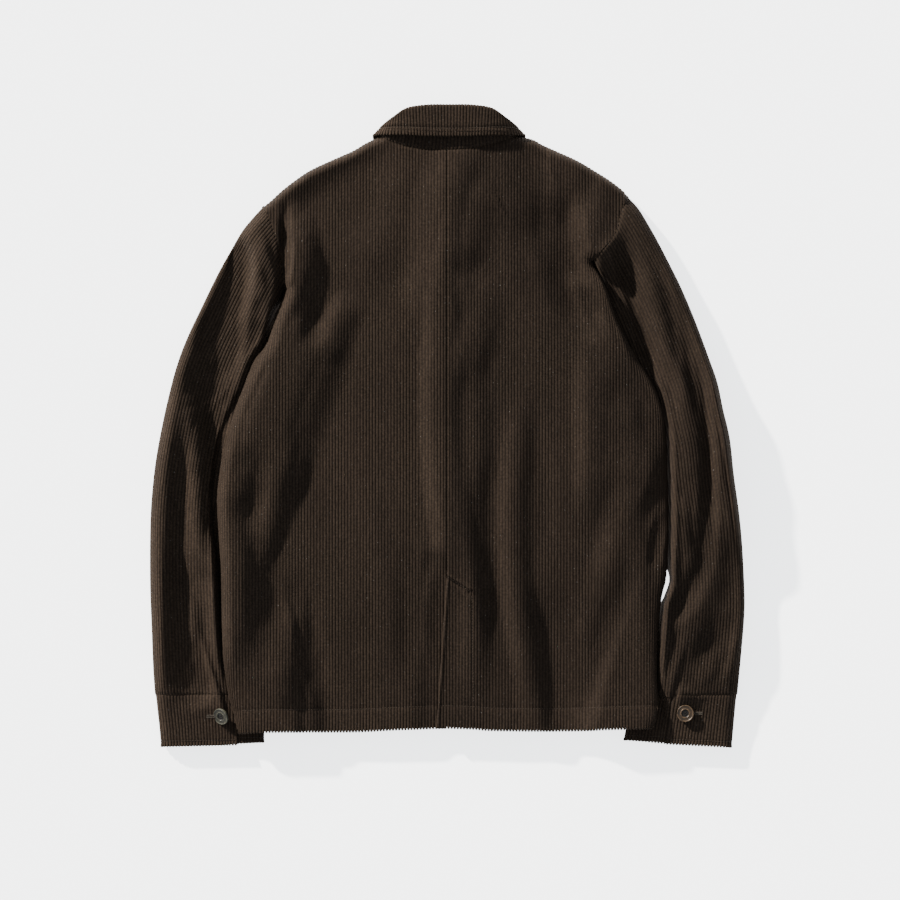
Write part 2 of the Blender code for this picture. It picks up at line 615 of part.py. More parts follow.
def cuff(name, half, button_spot):
    """A cuff as one open band wound once round the wrist, its end buttoned over its start."""
    v = np.linspace(0.0, 1.0, CUFF_ROWS)
    inner, outer = cut_at(half.inner, CUFF_SEAM - SEAM_GAP)[1], cut_at(half.outer, CUFF_SEAM - SEAM_GAP)[1]
    width = np.linalg.norm(along(outer, 0.5) - along(inner, 0.5)) - 2.0 * CUFF_INSET
    button_u = abs(button_spot[0] - along(inner, 0.5)[0]) / width
    end_u = button_u - CUFF_BUTTON_TO_END / width
    turn = UNDER_ROLL * (1.0 - np.cos(np.radians([0.0, 30.0, 60.0, 90.0]))) / width
    lapped = end_u + np.linspace(0.0, CUFF_UNDER_END / width, 4)
    upper = np.concatenate([lapped, [0.5 * (lapped[-1] + 1.0 - turn[-1])], 1.0 - turn[::-1]])
    below = np.concatenate([1.0 - turn[1:], np.linspace(1.0 - turn[-1], turn[-1], 5)[1:-1], turn[::-1]])
    start = np.concatenate([turn[1:], lapped])
    u = np.concatenate([upper, below, start])
    on_top = np.repeat([True, False, True], [len(upper), len(below), len(start)])
    wound = np.concatenate([np.zeros(len(upper)), 1.0 - smoothstep(below / 0.5), np.ones(len(start))])
    length = 1.0 - wound * CUFF_UNDER_SHORT / abs(CUFF_EDGE - CUFF_SEAM)
    faces = []
    for thick in (0.0, WALL):
        columns = []
        for share, top, far, end in zip(u, on_top, wound, length):
            inset = CUFF_INSET + CUFF_LAYERS * far + thick
            a, b = along(inner, v * end), along(outer, v * end)
            run = length_of(np.stack([a[0], b[0]])) - 2.0 * CUFF_INSET
            edge = np.clip(1.0 - np.array([share, 1.0 - share]) * run / UNDER_ROLL, 0.0, 1.0)
            aside = CUFF_INSET + share * run + (inset - CUFF_INSET) * (edge[0] - edge[1])
            plan = a + aside / (run + 2.0 * CUFF_INSET) * (b - a)
            columns.append(raise_to(plan, sleeve_faces(half, plan[:, 0], plan[:, 1], inset)[0 if top else 1]))
        faces.append(np.stack(columns, axis=1))
    return add_solid(name, "corduroy", *wall(*faces))


def neck_line(half):
    """The foot of the collar, just clear of the neck seam: centre back, shoulder seam, centre front."""
    back = spline(half.back_neck)
    back = place(back, length_of(back) - np.array(neck_columns(length_of(back))))[::-1]
    front = centre_places(half, half.front_centre, half.front_neck)
    front = front[front[:, 1] >= half.front_neck[-1][1] - 0.01][::-1]
    back_height = body_top(back[:, 0], back[:, 1])
    front_height = body_under(front[:, 0], front[:, 1]) + (lap_lift(front[:, 0]) if half is RIGHT else 0.0)
    back, front = beside(back, half.sign * COLLAR_GAP), beside(front, -half.sign * COLLAR_GAP)
    back[-1] = front[0] = 0.5 * (back[-1] + front[0])
    dense = along(raise_to(front, front_height), np.linspace(0.0, 1.0, 400))
    kept = dense[half.sign * (dense[:, 0] - COLLAR_CENTRE) >= COLLAR_STOP]
    return raise_to(back, back_height), kept


def collar_lines():
    """The collar's foot, its roll, its outer edge and its outward sides, from front to front by the back."""
    rows = spline(COLLAR_STATIONS, steps=2)
    halves = []
    for half in (LEFT, RIGHT):
        back, front = neck_line(half)
        behind = along(back, np.minimum(rows[:, 0], 1.0))
        before = along(front, np.maximum(rows[:, 0] - 1.0, 0.0))
        foot = np.where(rows[:, :1] <= 1.0, behind, before)
        mirror, centre = np.array([half.sign, 1.0, 1.0]), np.array([COLLAR_CENTRE, 0.0, 0.0])
        turn = np.radians(rows[:, 1])
        out = np.stack([half.sign * np.sin(turn), np.zeros(len(turn)), np.cos(turn)], axis=1)
        halves.append((foot, rows[:, 2:5] * mirror + centre, rows[:, 5:8] * mirror + centre, out))
    return [np.concatenate([a[::-1], b[1:]]) for a, b in zip(*halves)]


def collar():
    """The stand on the neck seam, in three parts, and the fall hooked over it."""
    foot, roll, edge, out = collar_lines()
    up = roll - foot
    up = unit(up - (up * out).sum(-1, keepdims=True) * out)
    top = roll - (ROLL_RADIUS - WALL) * out - 0.5 * SEAM_GAP * up
    stand = np.stack([foot + share * (top - foot) for share in (0.0, 0.5, 1.0)], axis=1)
    inside = stand - WALL * out[:, None]
    middle = len(stand) // 2
    shares = spline(COLLAR_STATIONS, steps=2)[:, 0]
    shoulder = middle - int(np.argmax(shares >= 1.0))
    neck_hole = middle - int(np.argmax(shares >= STAND_FRONT))
    add_solid("collar_stand", "corduroy", *wall(stand[shoulder:-shoulder], inside[shoulder:-shoulder]))
    end = neck_hole + 1
    add_solid("collar_stand_left", "corduroy", *wall(stand[:end], inside[:end]))
    add_solid("collar_stand_right", "corduroy", *wall(stand[-end:], inside[-end:]))
    hook_out, hook_in = [], []
    for angle in np.linspace(0.0, math.pi, HOOK_STEPS + 1):
        arm = math.sin(angle) * up - math.cos(angle) * out
        ease = 0.5 * SEAM_GAP * up if angle == 0.0 else 0.0
        hook_out.append(roll + ROLL_RADIUS * arm + ease)
        hook_in.append(roll + (ROLL_RADIUS - WALL) * arm + ease)
    start, fall = hook_out[-1], edge - hook_out[-1]
    face = unit(out - (out * unit(fall)).sum(-1, keepdims=True) * unit(fall))
    for share in FALL_ROWS:
        hook_out.append(start + share * fall)
        hook_in.append(start + share * fall - WALL * face)
    add_solid("collar_fall", "corduroy", *wall(np.stack(hook_out, axis=1), np.stack(hook_in, axis=1)))


def turned_ring(bm, radius, height, sides):
    angles = np.arange(sides) * 2.0 * math.pi / sides
    return [bm.verts.new((radius * math.cos(a) * MM, radius * math.sin(a) * MM, height * MM)) for a in angles]


def button(name, centre, normal, sides, holes):
    """A turned button with a raised rim, its face along the normal, and its four holes cut through."""
    rim = BUTTON_RADIUS - BUTTON_RIM
    profile = [
        (BUTTON_RADIUS - BUTTON_FOOT_BEVEL[0], 0.0), (BUTTON_RADIUS, BUTTON_FOOT_BEVEL[1]),
        (BUTTON_RADIUS, BUTTON_THICK - BUTTON_RIM_BEVEL[1]), (BUTTON_RADIUS - BUTTON_RIM_BEVEL[0], BUTTON_THICK),
        (rim, BUTTON_THICK - BUTTON_RIM_FALL[1]), (rim - BUTTON_RIM_FALL[0], BUTTON_THICK - BUTTON_DISH),
    ]
    bm = bmesh.new()
    rings = [turned_ring(bm, radius, height, sides) for radius, height in profile]
    bm.faces.new(rings[0][::-1])
    for low, high in zip(rings, rings[1:]):
        for k in range(sides):
            n = (k + 1) % sides
            bm.faces.new((low[k], low[n], high[n], high[k]))
    bm.faces.new(rings[-1])
    bmesh.ops.recalc_face_normals(bm, faces=bm.faces)
    mesh = bpy.data.meshes.new(name)
    bm.to_mesh(mesh)
    bm.free()
    disc = add_object(name, mesh, "button")
    if holes:
        cutter = hole_cutter(name + "_holes")
        cutter.parent = disc
        cut = disc.modifiers.new("Holes", "BOOLEAN")
        cut.object = cutter
    disc.location = (Vector(centre) - Vector(MIDDLE)) * MM
    disc.rotation_mode = "QUATERNION"
    disc.rotation_quaternion = Vector(normal).to_track_quat("Z", "Y")


def hole_cutter(name):
    """Four pins that cut a button's holes."""
    bm = bmesh.new()
    for x in (-BUTTON_HOLE_PITCH, BUTTON_HOLE_PITCH):
        for y in (-BUTTON_HOLE_PITCH, BUTTON_HOLE_PITCH):
            spot = Matrix.Translation((x * MM, y * MM, 0.5 * BUTTON_THICK * MM))
            bmesh.ops.create_cone(
                bm, cap_ends=True, segments=BUTTON_HOLE_SIDES, radius1=BUTTON_HOLE * MM,
                radius2=BUTTON_HOLE * MM, depth=2.0 * BUTTON_THICK * MM, matrix=spot,
            )
    mesh = bpy.data.meshes.new(name)
    bm.to_mesh(mesh)
    bm.free()
    cutter = bpy.data.objects.new(name, mesh)
    bpy.context.scene.collection.objects.link(cutter)
    cutter.hide_render = True
    cutter.display_type = "WIRE"
    return cutter


def cuff_button(name, half, spot):
    """A button lying on the upper layer of a cuff."""
    angles = np.arange(8) * 0.25 * math.pi
    foot_radius = BUTTON_RADIUS - BUTTON_FOOT_BEVEL[0]
    away = foot_radius * np.stack([np.cos(angles), np.sin(angles)], axis=1)
    height = cuff_height(half, spot[0] + away[:, 0], spot[1] + away[:, 1])
    slope = 2.0 * (away * height[:, None]).mean(0) / foot_radius**2
    normal = unit(np.array([-slope[0], -slope[1], 1.0]))
    foot = np.array([spot[0], spot[1], (height - away @ slope).max()])
    button(name, foot + BUTTON_GAP * normal, normal, BUTTON_SIDES, holes=True)


def finish(name):
    """The plain material of a kind of piece."""
    if name in bpy.data.materials:
        return bpy.data.materials[name]
    colour, roughness = COLOURS[name]
    material = bpy.data.materials.new(name)
    material.use_nodes = True
    shader = material.node_tree.nodes["Principled BSDF"]
    shader.inputs["Base Color"].default_value = colour
    shader.inputs["Roughness"].default_value = roughness
    return material


def add_object(name, mesh, colour):
    mesh.materials.append(finish(colour))
    mesh.shade_smooth()
    mesh.set_sharp_from_angle(angle=math.radians(50.0))
    piece = bpy.data.objects.new(name, mesh)
    bpy.context.scene.collection.objects.link(piece)
    return piece


def add_solid(name, colour, points, faces):
    mesh = bpy.data.meshes.new(name)
    mesh.from_pydata(((points - MIDDLE) * MM).tolist(), [], faces)
    bm = bmesh.new()
    bm.from_mesh(mesh)
    bmesh.ops.triangulate(bm, faces=bm.faces)
    bmesh.ops.recalc_face_normals(bm, faces=bm.faces)
    bm.to_mesh(mesh)
    bm.free()
    return add_object(name, mesh, colour)


def under_back(x, y, inset, thick):
    return body_top(x, y, inset, thick) - vent_underlap(x, y)


def over_front(x, y, inset, thick):
    return body_under(x, y, inset, thick) + lap_lift(x)


def build():
    for old in list(bpy.data.objects):
        bpy.data.objects.remove(old, do_unlink=True)
    gap = 0.5 * SEAM_GAP
    neck_y = BACK_NECK_LEFT[-1][1]
    underlap = [(UNDERLAP, HEM_LEFT[-1][1]), (UNDERLAP, VENT_TOP - UNDERLAP_SLANT)]
    vent = underlap + [(-gap, VENT_TOP), (-gap, neck_y)]
    body_panel("back_left", LEFT, vent, False, under_back)
    body_panel("back_right", RIGHT, [HEM_RIGHT[-1], (gap, VENT_TOP), (gap, neck_y)], False, body_top)
    body_panel("front_left", LEFT, LEFT.front_centre, True, body_under)
    body_panel("front_right", RIGHT, RIGHT.front_centre, True, over_front)
    collar()
    for side, half, spot in (("left", LEFT, LEFT_CUFF_BUTTON), ("right", RIGHT, RIGHT_CUFF_BUTTON)):
        sleeve("sleeve_" + side, half)
        cuff("cuff_" + side, half, spot)
        cuff_button("cuff_button_" + side, half, spot)
    for k in range(FRONT_BUTTONS):
        spot = (0.0, FRONT_BUTTON_TOP - k * FRONT_BUTTON_PITCH, BUTTON_THICK + BUTTON_GAP)
        button("front_button_%d" % (k + 1), spot, (0.0, 0.0, -1.0), PLAIN_BUTTON_SIDES, holes=False)


build()
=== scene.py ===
import math

import bmesh
import bpy
import numpy as np
from mathutils import Matrix, Vector


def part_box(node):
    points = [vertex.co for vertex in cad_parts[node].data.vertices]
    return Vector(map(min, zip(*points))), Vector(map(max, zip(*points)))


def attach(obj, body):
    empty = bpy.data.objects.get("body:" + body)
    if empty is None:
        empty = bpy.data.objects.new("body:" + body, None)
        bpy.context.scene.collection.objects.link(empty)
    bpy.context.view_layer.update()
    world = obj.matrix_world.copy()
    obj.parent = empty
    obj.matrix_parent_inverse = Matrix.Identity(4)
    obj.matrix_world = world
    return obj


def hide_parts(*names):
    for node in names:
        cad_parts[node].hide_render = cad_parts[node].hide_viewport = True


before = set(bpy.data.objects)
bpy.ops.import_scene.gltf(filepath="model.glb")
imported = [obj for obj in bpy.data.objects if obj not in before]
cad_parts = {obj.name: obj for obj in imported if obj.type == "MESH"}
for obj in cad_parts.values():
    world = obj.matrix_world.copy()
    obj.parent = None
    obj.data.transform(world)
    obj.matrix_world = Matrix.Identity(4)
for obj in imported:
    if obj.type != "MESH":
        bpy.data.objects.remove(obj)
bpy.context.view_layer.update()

# Everything is laid out in millimetres: +Y runs to the collar, the front rests on 0.
mm = 0.001
middle = np.array([0.2, 1.1, 0.0])  # the middle of the outline becomes the origin
lowest = 0.04  # nothing reaches below this
facingWidth = 9.0  # of the cloth turned in at a free edge
wale = {
    "pitch": 3.7, "relief": 0.75, "edgeRelief": 3.0, "edgeWidth": 1.6,
    "places": [0.0, 0.1, 0.28, 0.5, 0.72, 0.9, 1.0],  # across one wale
    "heights": [0.0, 0.58, 0.92, 1.0, 0.92, 0.58, 0.0],
}


# lines and curves
def smoothStep(share):
    share = np.clip(share, 0.0, 1.0)
    return share * share * (3.0 - 2.0 * share)


def smoothMax(first, second, blend):
    return 0.5 * (first + second + np.sqrt((first - second) ** 2 + blend**2))


def bell(distance, width):
    return np.exp(-(distance / width) ** 2)


def unit(vectors):
    length = np.linalg.norm(vectors, axis=-1, keepdims=True)
    return vectors / np.maximum(length, 1e-9)


def spline(points, steps=8):
    knots = np.array(points, float)
    knots = np.vstack([2 * knots[0] - knots[1], knots, 2 * knots[-1] - knots[-2]])
    t = np.linspace(0.0, 1.0, steps, endpoint=False)[:, None]
    spans = []
    for a, b, c, d in zip(knots, knots[1:], knots[2:], knots[3:]):
        square, cube = (2 * a - 5 * b + 4 * c - d) * t**2, (3 * b - a - 3 * c + d) * t**3
        spans.append(0.5 * (2 * b + (c - a) * t + square + cube))
    return np.vstack(spans + [knots[-2:-1]])


def lengthOf(line):
    return np.linalg.norm(np.diff(line, axis=0), axis=1).sum()


def distances(line):  # how far along the line each of its points is
    return np.concatenate([[0.0], np.cumsum(np.linalg.norm(np.diff(line, axis=0), axis=1))])


def reach(line):  # the same as a share of its length
    return distances(line) / lengthOf(line)


def along(line, shares):
    places = reach(line)
    return np.stack([np.interp(shares, places, line[:, k]) for k in range(line.shape[1])], axis=-1)


def table(rows, value):
    line = spline(rows)
    return np.interp(value, line[:, 0], line[:, 1])


def lineAt(line, x):  # the y of a line that crosses each x once
    line = line[np.argsort(line[:, 0])]
    return np.interp(x, line[:, 0], line[:, 1])


def cutAt(line, y):  # the two parts of a line that runs down past this y
    k = int(np.argmax(line[:, 1] < y))
    a, b = line[k - 1], line[k]
    at = a + (b - a) * (y - a[1]) / (b[1] - a[1])
    return np.vstack([line[:k], at]), np.vstack([at, line[k:]])


def nearest(x, y, line):  # distance, share of the length there, and +1 on the left of travel or -1
    start, run = line[:-1], np.diff(line, axis=0)
    square, places = (run**2).sum(1), reach(line)
    flatX, flatY = np.ravel(x), np.ravel(y)
    found = np.empty((3, flatX.size))
    for low in range(0, flatX.size, 8192):
        part = slice(low, low + 8192)
        px = flatX[part, None] - start[:, 0]
        py = flatY[part, None] - start[:, 1]
        t = np.clip((px * run[:, 0] + py * run[:, 1]) / square, 0.0, 1.0)
        gap = (px - t * run[:, 0]) ** 2 + (py - t * run[:, 1]) ** 2
        k = gap.argmin(1)
        row = np.arange(k.size)
        turn = run[k, 0] * py[row, k] - run[k, 1] * px[row, k]
        found[0, part] = np.sqrt(gap[row, k])
        found[1, part] = places[k] + t[row, k] * (places[k + 1] - places[k])
        found[2, part] = np.where(turn < 0.0, -1.0, 1.0)
    return [values.reshape(np.shape(x)) for values in found]


def rolled(distance, radius):  # the rise of a rolled edge, 0 at the edge and 1 on the flat
    return np.sqrt(1.0 - (1.0 - np.clip(distance / radius, 0.0, 1.0)) ** 2)


def folds(rows, x, y):  # from, by way of, to, width to the -X side, width to the other, height
    height = np.zeros_like(x)
    for x0, y0, x1, y1, x2, y2, first, second, crest in rows:
        ends = np.array([[x0, y0], [x2, y2]], float)
        control = 2.0 * np.array([x1, y1], float) - ends.mean(0)
        t = np.linspace(0.0, 1.0, 13)[:, None]
        curve = (1 - t) ** 2 * ends[0] + 2 * t * (1 - t) * control + t**2 * ends[1]
        gap, share, side = nearest(x, y, curve)
        width = np.where(side < 0.0, first, second)
        taper = smoothStep(np.minimum(share, 1.0 - share) / 0.3)
        height += crest * taper * np.cos(0.5 * math.pi * np.clip(gap / width, 0.0, 1.0)) ** 2
    return height


# the outline of each half, x and y
leftHalf = {
    "sign": -1.0,
    "side": [
        (-194.5, 164), (-204, 137), (-209, 122), (-217, 98), (-231.5, 79), (-245, 46), (-257, 14),
        (-269, -30), (-275.5, -75), (-275.5, -110), (-272, -170), (-270.5, -240), (-268, -285),
        (-263, -320), (-254.5, -351), (-251.5, -368),
    ],
    "armhole": [(-194.5, 164), (-198, 197), (-204, 224), (-210, 242), (-215, 254), (-222, 263)],
    "shoulder": [
        (-222, 263), (-211, 272), (-198, 284), (-182.5, 296), (-164.5, 308), (-139, 320), (-113, 331.5),
        (-97, 341), (-80, 348.5),
    ],
    "backNeck": [(-80, 348.5), (-67, 341.5), (-44, 335), (-20, 332.5), (0, 332), (34, 332)],
    "frontNeck": [(-80, 348.5), (-76, 322), (-62, 297), (-38, 276), (-10, 267), (18, 266)],
    "hem": [(-300, -368), (-251.5, -368), (-212, -366.5), (-116, -366.5), (-60, -364), (0, -362), (34, -361)],
    "outer": [
        (-222, 263), (-233, 251), (-246, 235), (-259, 213), (-273, 188), (-285, 164), (-297, 139),
        (-309, 114), (-319, 90), (-327, 66), (-333, 43), (-340, 13), (-348, -28), (-353, -64),
        (-356.5, -112), (-357, -185), (-355, -245), (-353, -295), (-350, -333), (-347, -360), (-345, -383),
    ],
    "inner": [
        (-194.5, 164), (-201.5, 138), (-204, 122), (-202, 104), (-196, 76), (-189, 36), (-188, -20),
        (-192, -100), (-201, -200), (-210, -290), (-215, -330), (-216, -380),
    ],
    "crown": [
        (-384, 15), (-350, 18), (-322, 23), (-290, 28), (-200, 33), (-60, 35), (60, 35), (160, 33), (270, 30),
    ],
    "folds": [
        (-237, 249, -262, 169, -298, 75, 30, 32, -23.4),
        (-259, 258, -217, 130, -263, 47, 25, 16, 12.2),
        (-244, 136, -284, 53, -261, 25, 50, 25, -21.1),
        (-222, 72, -286, -81, -232, -370, 30, 9, 25.1),
        (-310, 41, -322, -146, -323, -358, 20, 30, -13.7),
        (-284, 64, -278, -71, -275, -172, 30, 46, -22.4),
        (-249, 250, -199, 167, -246, 119, 19, 26, 13.2),
        (-274, 203, -250, 191, -274, 36, 18, 22, -24.0),
        (-308, -144, -307, -247, -315, -310, 33, 37, -9.1),
        (-326, -280, -298, -328, -352, -405, 36, 20, -18.5),
        (-300, -240, -294, -284, -253, -391, 21, 9, -13.6),
    ],
}
rightHalf = {
    "sign": 1.0,
    "side": [
        (175, 197), (184, 181), (192, 163), (200, 138), (210, 115), (228, 82), (246, 53), (256, 29),
        (262.5, -5), (264.5, -60), (265.5, -120), (263.5, -178), (257.5, -205), (253.5, -245),
        (252, -295), (253, -330), (252, -351), (247, -362),
    ],
    "armhole": [(175, 197), (184, 210), (196, 224), (204, 238), (208, 254), (212, 266), (218, 275)],
    "shoulder": [
        (218, 275), (211, 284), (195.5, 296), (176.5, 308), (156, 320), (129.5, 332), (114, 339),
        (103, 345), (84, 349.5),
    ],
    "backNeck": [(84, 349.5), (70, 344), (50, 338), (27, 333.5), (0, 332), (-34, 332)],
    "frontNeck": [(84, 349.5), (80, 322), (66, 297), (42, 276), (12, 267), (-18, 266)],
    "hem": [
        (300, -362), (247, -362), (190, -363.5), (140, -365.5), (60, -365), (30, -363), (-13, -361.5),
        (-34, -361.5),
    ],
    "outer": [
        (218, 275), (230, 262), (240, 246), (252, 225), (266, 198), (280, 170), (293, 140), (304, 112),
        (316, 79), (325, 53), (332, 20), (340, -15), (345, -60), (351, -103), (355, -145), (357.5, -195),
        (357.5, -225), (354, -270), (350, -312), (346.5, -350), (343.5, -384),
    ],
    "inner": [
        (175, 197), (183, 180), (189.5, 162), (195.5, 142), (204, 112), (221, 78), (239, 46), (251, 12),
        (258, -20), (260, -75), (260.5, -130), (262, -162), (264.8, -174), (267, -185), (261, -203),
        (254, -217), (246, -240), (233, -280), (220, -320), (208, -377),
    ],
    "crown": [
        (-384, 15), (-350, 18), (-322, 23), (-290, 29), (-200, 38), (-60, 42), (60, 40), (160, 35), (280, 30),
    ],
    "folds": [
        (207, 240, 259, 174, 272, 0, 20, 14, -4.7),
        (231, 136, 279, -55, 216, -423, 50, 36, 27.0),
        (187, 238, 227, 138, 243, 38, 11, 34, -16.1),
        (261, 191, 293, 30, 286, -151, 20, 12, -4.2),
        (249, 188, 305, 46, 314, -189, 47, 12, -13.2),
        (340, -36, 330, -180, 285, -286, 16, 27, 1.6),
        (277, -99, 303, -170, 252, -244, 18, 21, -8.4),
        (321, -108, 342, -204, 303, -321, 43, 22, -15.0),
        (334, -262, 346, -290, 333, -344, 34, 24, -4.5),
        (341, -188, 324, -280, 290, -306, 26, 14, 5.3),
        (309, 99, 337, -21, 356, -167, 9, 12, 25.6),
        (285, -75, 285, -92, 288, -147, 9, 9, 1.9),
        (287, -306, 281, -333, 289, -384, 9, 38, 12.3),
    ],
}
for half in (leftHalf, rightHalf):
    half["underarm"] = float(half["side"][0][1])
    for key in ("side", "armhole", "shoulder", "backNeck", "frontNeck", "hem", "outer", "inner"):
        half[key] = spline(half[key])

# what sewing does to the cloth's height: how much, and how far to each side
seams = {
    "hem": (-0.7, 1.1), "hemPuff": (0.5, 10.0), "centre": (-0.9, 1.1), "centrePuff": (0.15, 2.5),
    "armhole": (-1.3, 1.8), "neck": (-1.0, 1.8), "lapEdge": (1.1, 1.6), "slant": (2.6, 2.2),
    "trough": (-2.4, 2.1), "facing": (-0.6, 1.5), "placket": (0.5, 0.8), "wrist": (-0.7, 1.4),
    "collar": (-1.0, 1.5), "collarRim": (0.5, 3.0), "collarPuff": (0.35, 3.5),
    "cuffEdge": (-0.35, 1.0), "cuffSeam": (-0.35, 1.4), "cuffPuff": (0.25, 2.0),
}


def sewn(key, distance):
    height, width = seams[key]
    return height * bell(distance, width)


# heights of the cloth over the surface it lies on
body = {
    "edge": 8.0, "roll": 15.0, "underRoll": 8.0, "sideDrop": 0.27, "halfWidth": 270.0, "highest": 54.0,
    "layerRise": 13.0, "pressed": 14.0, "liftRun": 62.0, "liftMargin": 28.0, "underarmRun": 30.0,
    "pressRun": 26.0, "pressMargin": 12.0, "collarLift": 5.0, "placketLift": 4.3, "lapLift": 4.0,
    "frontLap": 18.0, "shoulderTight": 1.7, "edgeFlat": 0.35, "sideHeight": 24.0,
    "collarFrom": 130.0, "collarRun": 60.0, "placketEdge": 50.0, "placketRun": 25.0, "lapRun": 26.0,
    "crown": [
        (-380, 20), (-366, 20.5), (-330, 23), (-260, 30), (-170, 38), (-40, 43),
        (90, 44), (200, 41), (270, 37), (335, 34), (360, 33),
    ],
    "folds": [
        # beside the centre back seam
        (62, 327, 3, 276, -11, 90, 50, 27, 11.5),
        (19, 255, -8, 26, 22, -224, 30, 35, 19.2),
        (-41, -103, -45, -207, -45, -330, 22, 18, -2.3),
        (-7, -140, -25, -230, -14, -303, 10, 15, 1.6),
        # left shoulder and shoulder blade
        (-77, 368, -166, 318, -232, 260, 11, 46, 11.0),
        (-211, 259, -182, 192, -238, 40, 9, 35, 27.0),
        (-171, 238, -158, 160, -214, 70, 17, 17, 5.7),
        (-193, 282, -195, 212, -201, 137, 11, 9, -7.9),
        (-121, 160, -125, 144, -156, 72, 20, 33, 7.7),
        (-73, 330, -58, 252, -125, 176, 50, 50, 4.3),
        # left side: a long swell and the shade beside it
        (-137, 128, -159, 83, -228, -100, 50, 50, 12.9),
        (-177, 139, -194, 84, -249, -51, 20, 45, 23.4),
        (-171, -6, -192, -83, -236, -182, 50, 23, 5.7),
        (-238, 21, -273, -174, -250, -338, 33, 46, 27.0),
        (-229, -103, -245, -218, -175, -366, 50, 50, 18.8),
        (-251, -45, -259, -78, -255, -128, 16, 34, -3.6),
        (-196, 24, -202, -46, -227, -156, 27, 24, 6.9),
        (-260, 81, -244, 29, -318, -48, 20, 47, 21.3),
        # left hem
        (-174, -196, -190, -275, -184, -368, 33, 18, 8.2),
        (-188, -171, -165, -284, -160, -332, 15, 31, -7.5),
        (-167, -246, -165, -338, -155, -394, 26, 22, 6.2),
        (-115, -224, -104, -299, -96, -375, 16, 23, -1.2),
        (-104, -52, -78, -172, -70, -295, 23, 22, 1.6),
        # right of the centre
        (61, 296, 30, 267, 7, 180, 31, 50, 7.8),
        (8, 189, 32, 125, -9, 50, 20, 43, 8.1),
        (25, 159, 34, -123, 28, -376, 26, 29, 6.2),
        (54, -19, 49, -142, 76, -291, 29, 24, -5.7),
        (96, 76, 81, -157, 120, -422, 23, 26, 7.1),
        (104, -183, 126, -261, 137, -412, 25, 28, -5.9),
        (87, 52, 116, -63, 109, -179, 19, 19, -1.7),
        (74, 288, 76, 218, 91, 147, 22, 24, 1.6),
        # right shoulder blade, waist and side
        (148, 271, 178, 204, 225, 72, 9, 47, 11.5),
        (167, 117, 171, 29, 171, -136, 26, 50, 8.1),
        (163, 288, 141, 238, 189, 100, 50, 28, -16.7),
        (134, 318, 113, 326, 106, 185, 50, 27, -6.0),
        (186, 305, 173, 297, 161, 259, 24, 18, -2.0),
        (202, 304, 201, 244, 153, 193, 29, 9, -3.4),
        (199, 40, 217, -6, 203, -82, 30, 23, 4.3),
        (249, -1, 204, -147, 187, -230, 34, 38, 7.2),
        (234, -103, 233, -193, 232, -330, 26, 18, 4.3),
        (215, 89, 268, -53, 221, -119, 29, 9, -7.5),
        (264, -94, 251, -151, 255, -172, 13, 9, -11.1),
        (187, -186, 175, -229, 161, -271, 23, 18, 1.6),
        (139, -163, 151, -280, 155, -381, 20, 21, -2.3),
    ],
}


def sleeveLift(half, x, y):
    gap, _, side = nearest(x, y, half["inner"])
    over = gap * side * half["sign"]
    run = smoothStep((over + body["liftRun"]) / (body["liftRun"] - body["liftMargin"]))
    return (body["pressed"] + 1.0) * run * smoothStep((half["underarm"] - y) / body["underarmRun"])


def bodyEdgeGap(half, x, y):  # the shoulder's edge is rolled more tightly than the side's
    side = nearest(x, y, half["side"])[0]
    shoulder = body["shoulderTight"] * nearest(x, y, half["shoulder"])[0]
    return np.maximum(np.minimum(side, shoulder) - body["edgeFlat"], 0.0)


def bodyCrown(half, x, y, lift):
    dome = 1.0 - body["sideDrop"] * np.clip(np.abs(x) / body["halfWidth"], 0.0, 1.2) ** 1.5
    crown = table(body["crown"], y) * dome + folds(body["folds"], x, y)
    return smoothMax(-smoothMax(-crown, -body["highest"], 8.0), lift + body["layerRise"], 6.0)


def backHeight(half, x, y):
    lift = sleeveLift(half, x, y)
    edge = body["edge"] + lift
    return edge + (bodyCrown(half, x, y, lift) - edge) * rolled(bodyEdgeGap(half, x, y), body["roll"])


def collarLift(y):
    return body["collarLift"] * smoothStep((y - body["collarFrom"]) / body["collarRun"])


def frontHeight(half, x, y):
    lift = sleeveLift(half, x, y)
    placket = body["placketLift"] * smoothStep((body["placketEdge"] - np.abs(x)) / body["placketRun"])
    floor = np.maximum(lift, np.maximum(collarLift(y), placket))
    edge = body["edge"] + lift
    height = edge - (edge - floor) * rolled(bodyEdgeGap(half, x, y), body["underRoll"])
    if half is rightHalf:  # it crosses over the left front
        height = height + body["lapLift"] * smoothStep((body["placketEdge"] - x) / body["lapRun"])
    return height


sleeve = {
    "seam": -321.0, "rows": 108, "dense": 150, "intoArmhole": 2.6, "intoCuff": 3.8,
    "highest": 50.0, "lowest": 9.0, "seamRun": 40.0, "underarmRun": 22.0,
    # under the body's side the press is narrower near the wrist, by height
    "pressY": [-330.0, -250.0], "pressShare": [0.35, 1.0],
    # the folds fade out at the body's side, the armhole and the wrist
    "foldSide": (-2.0, 12.0), "foldSeam": 18.0, "foldWrist": (-345.0, 40.0),
}


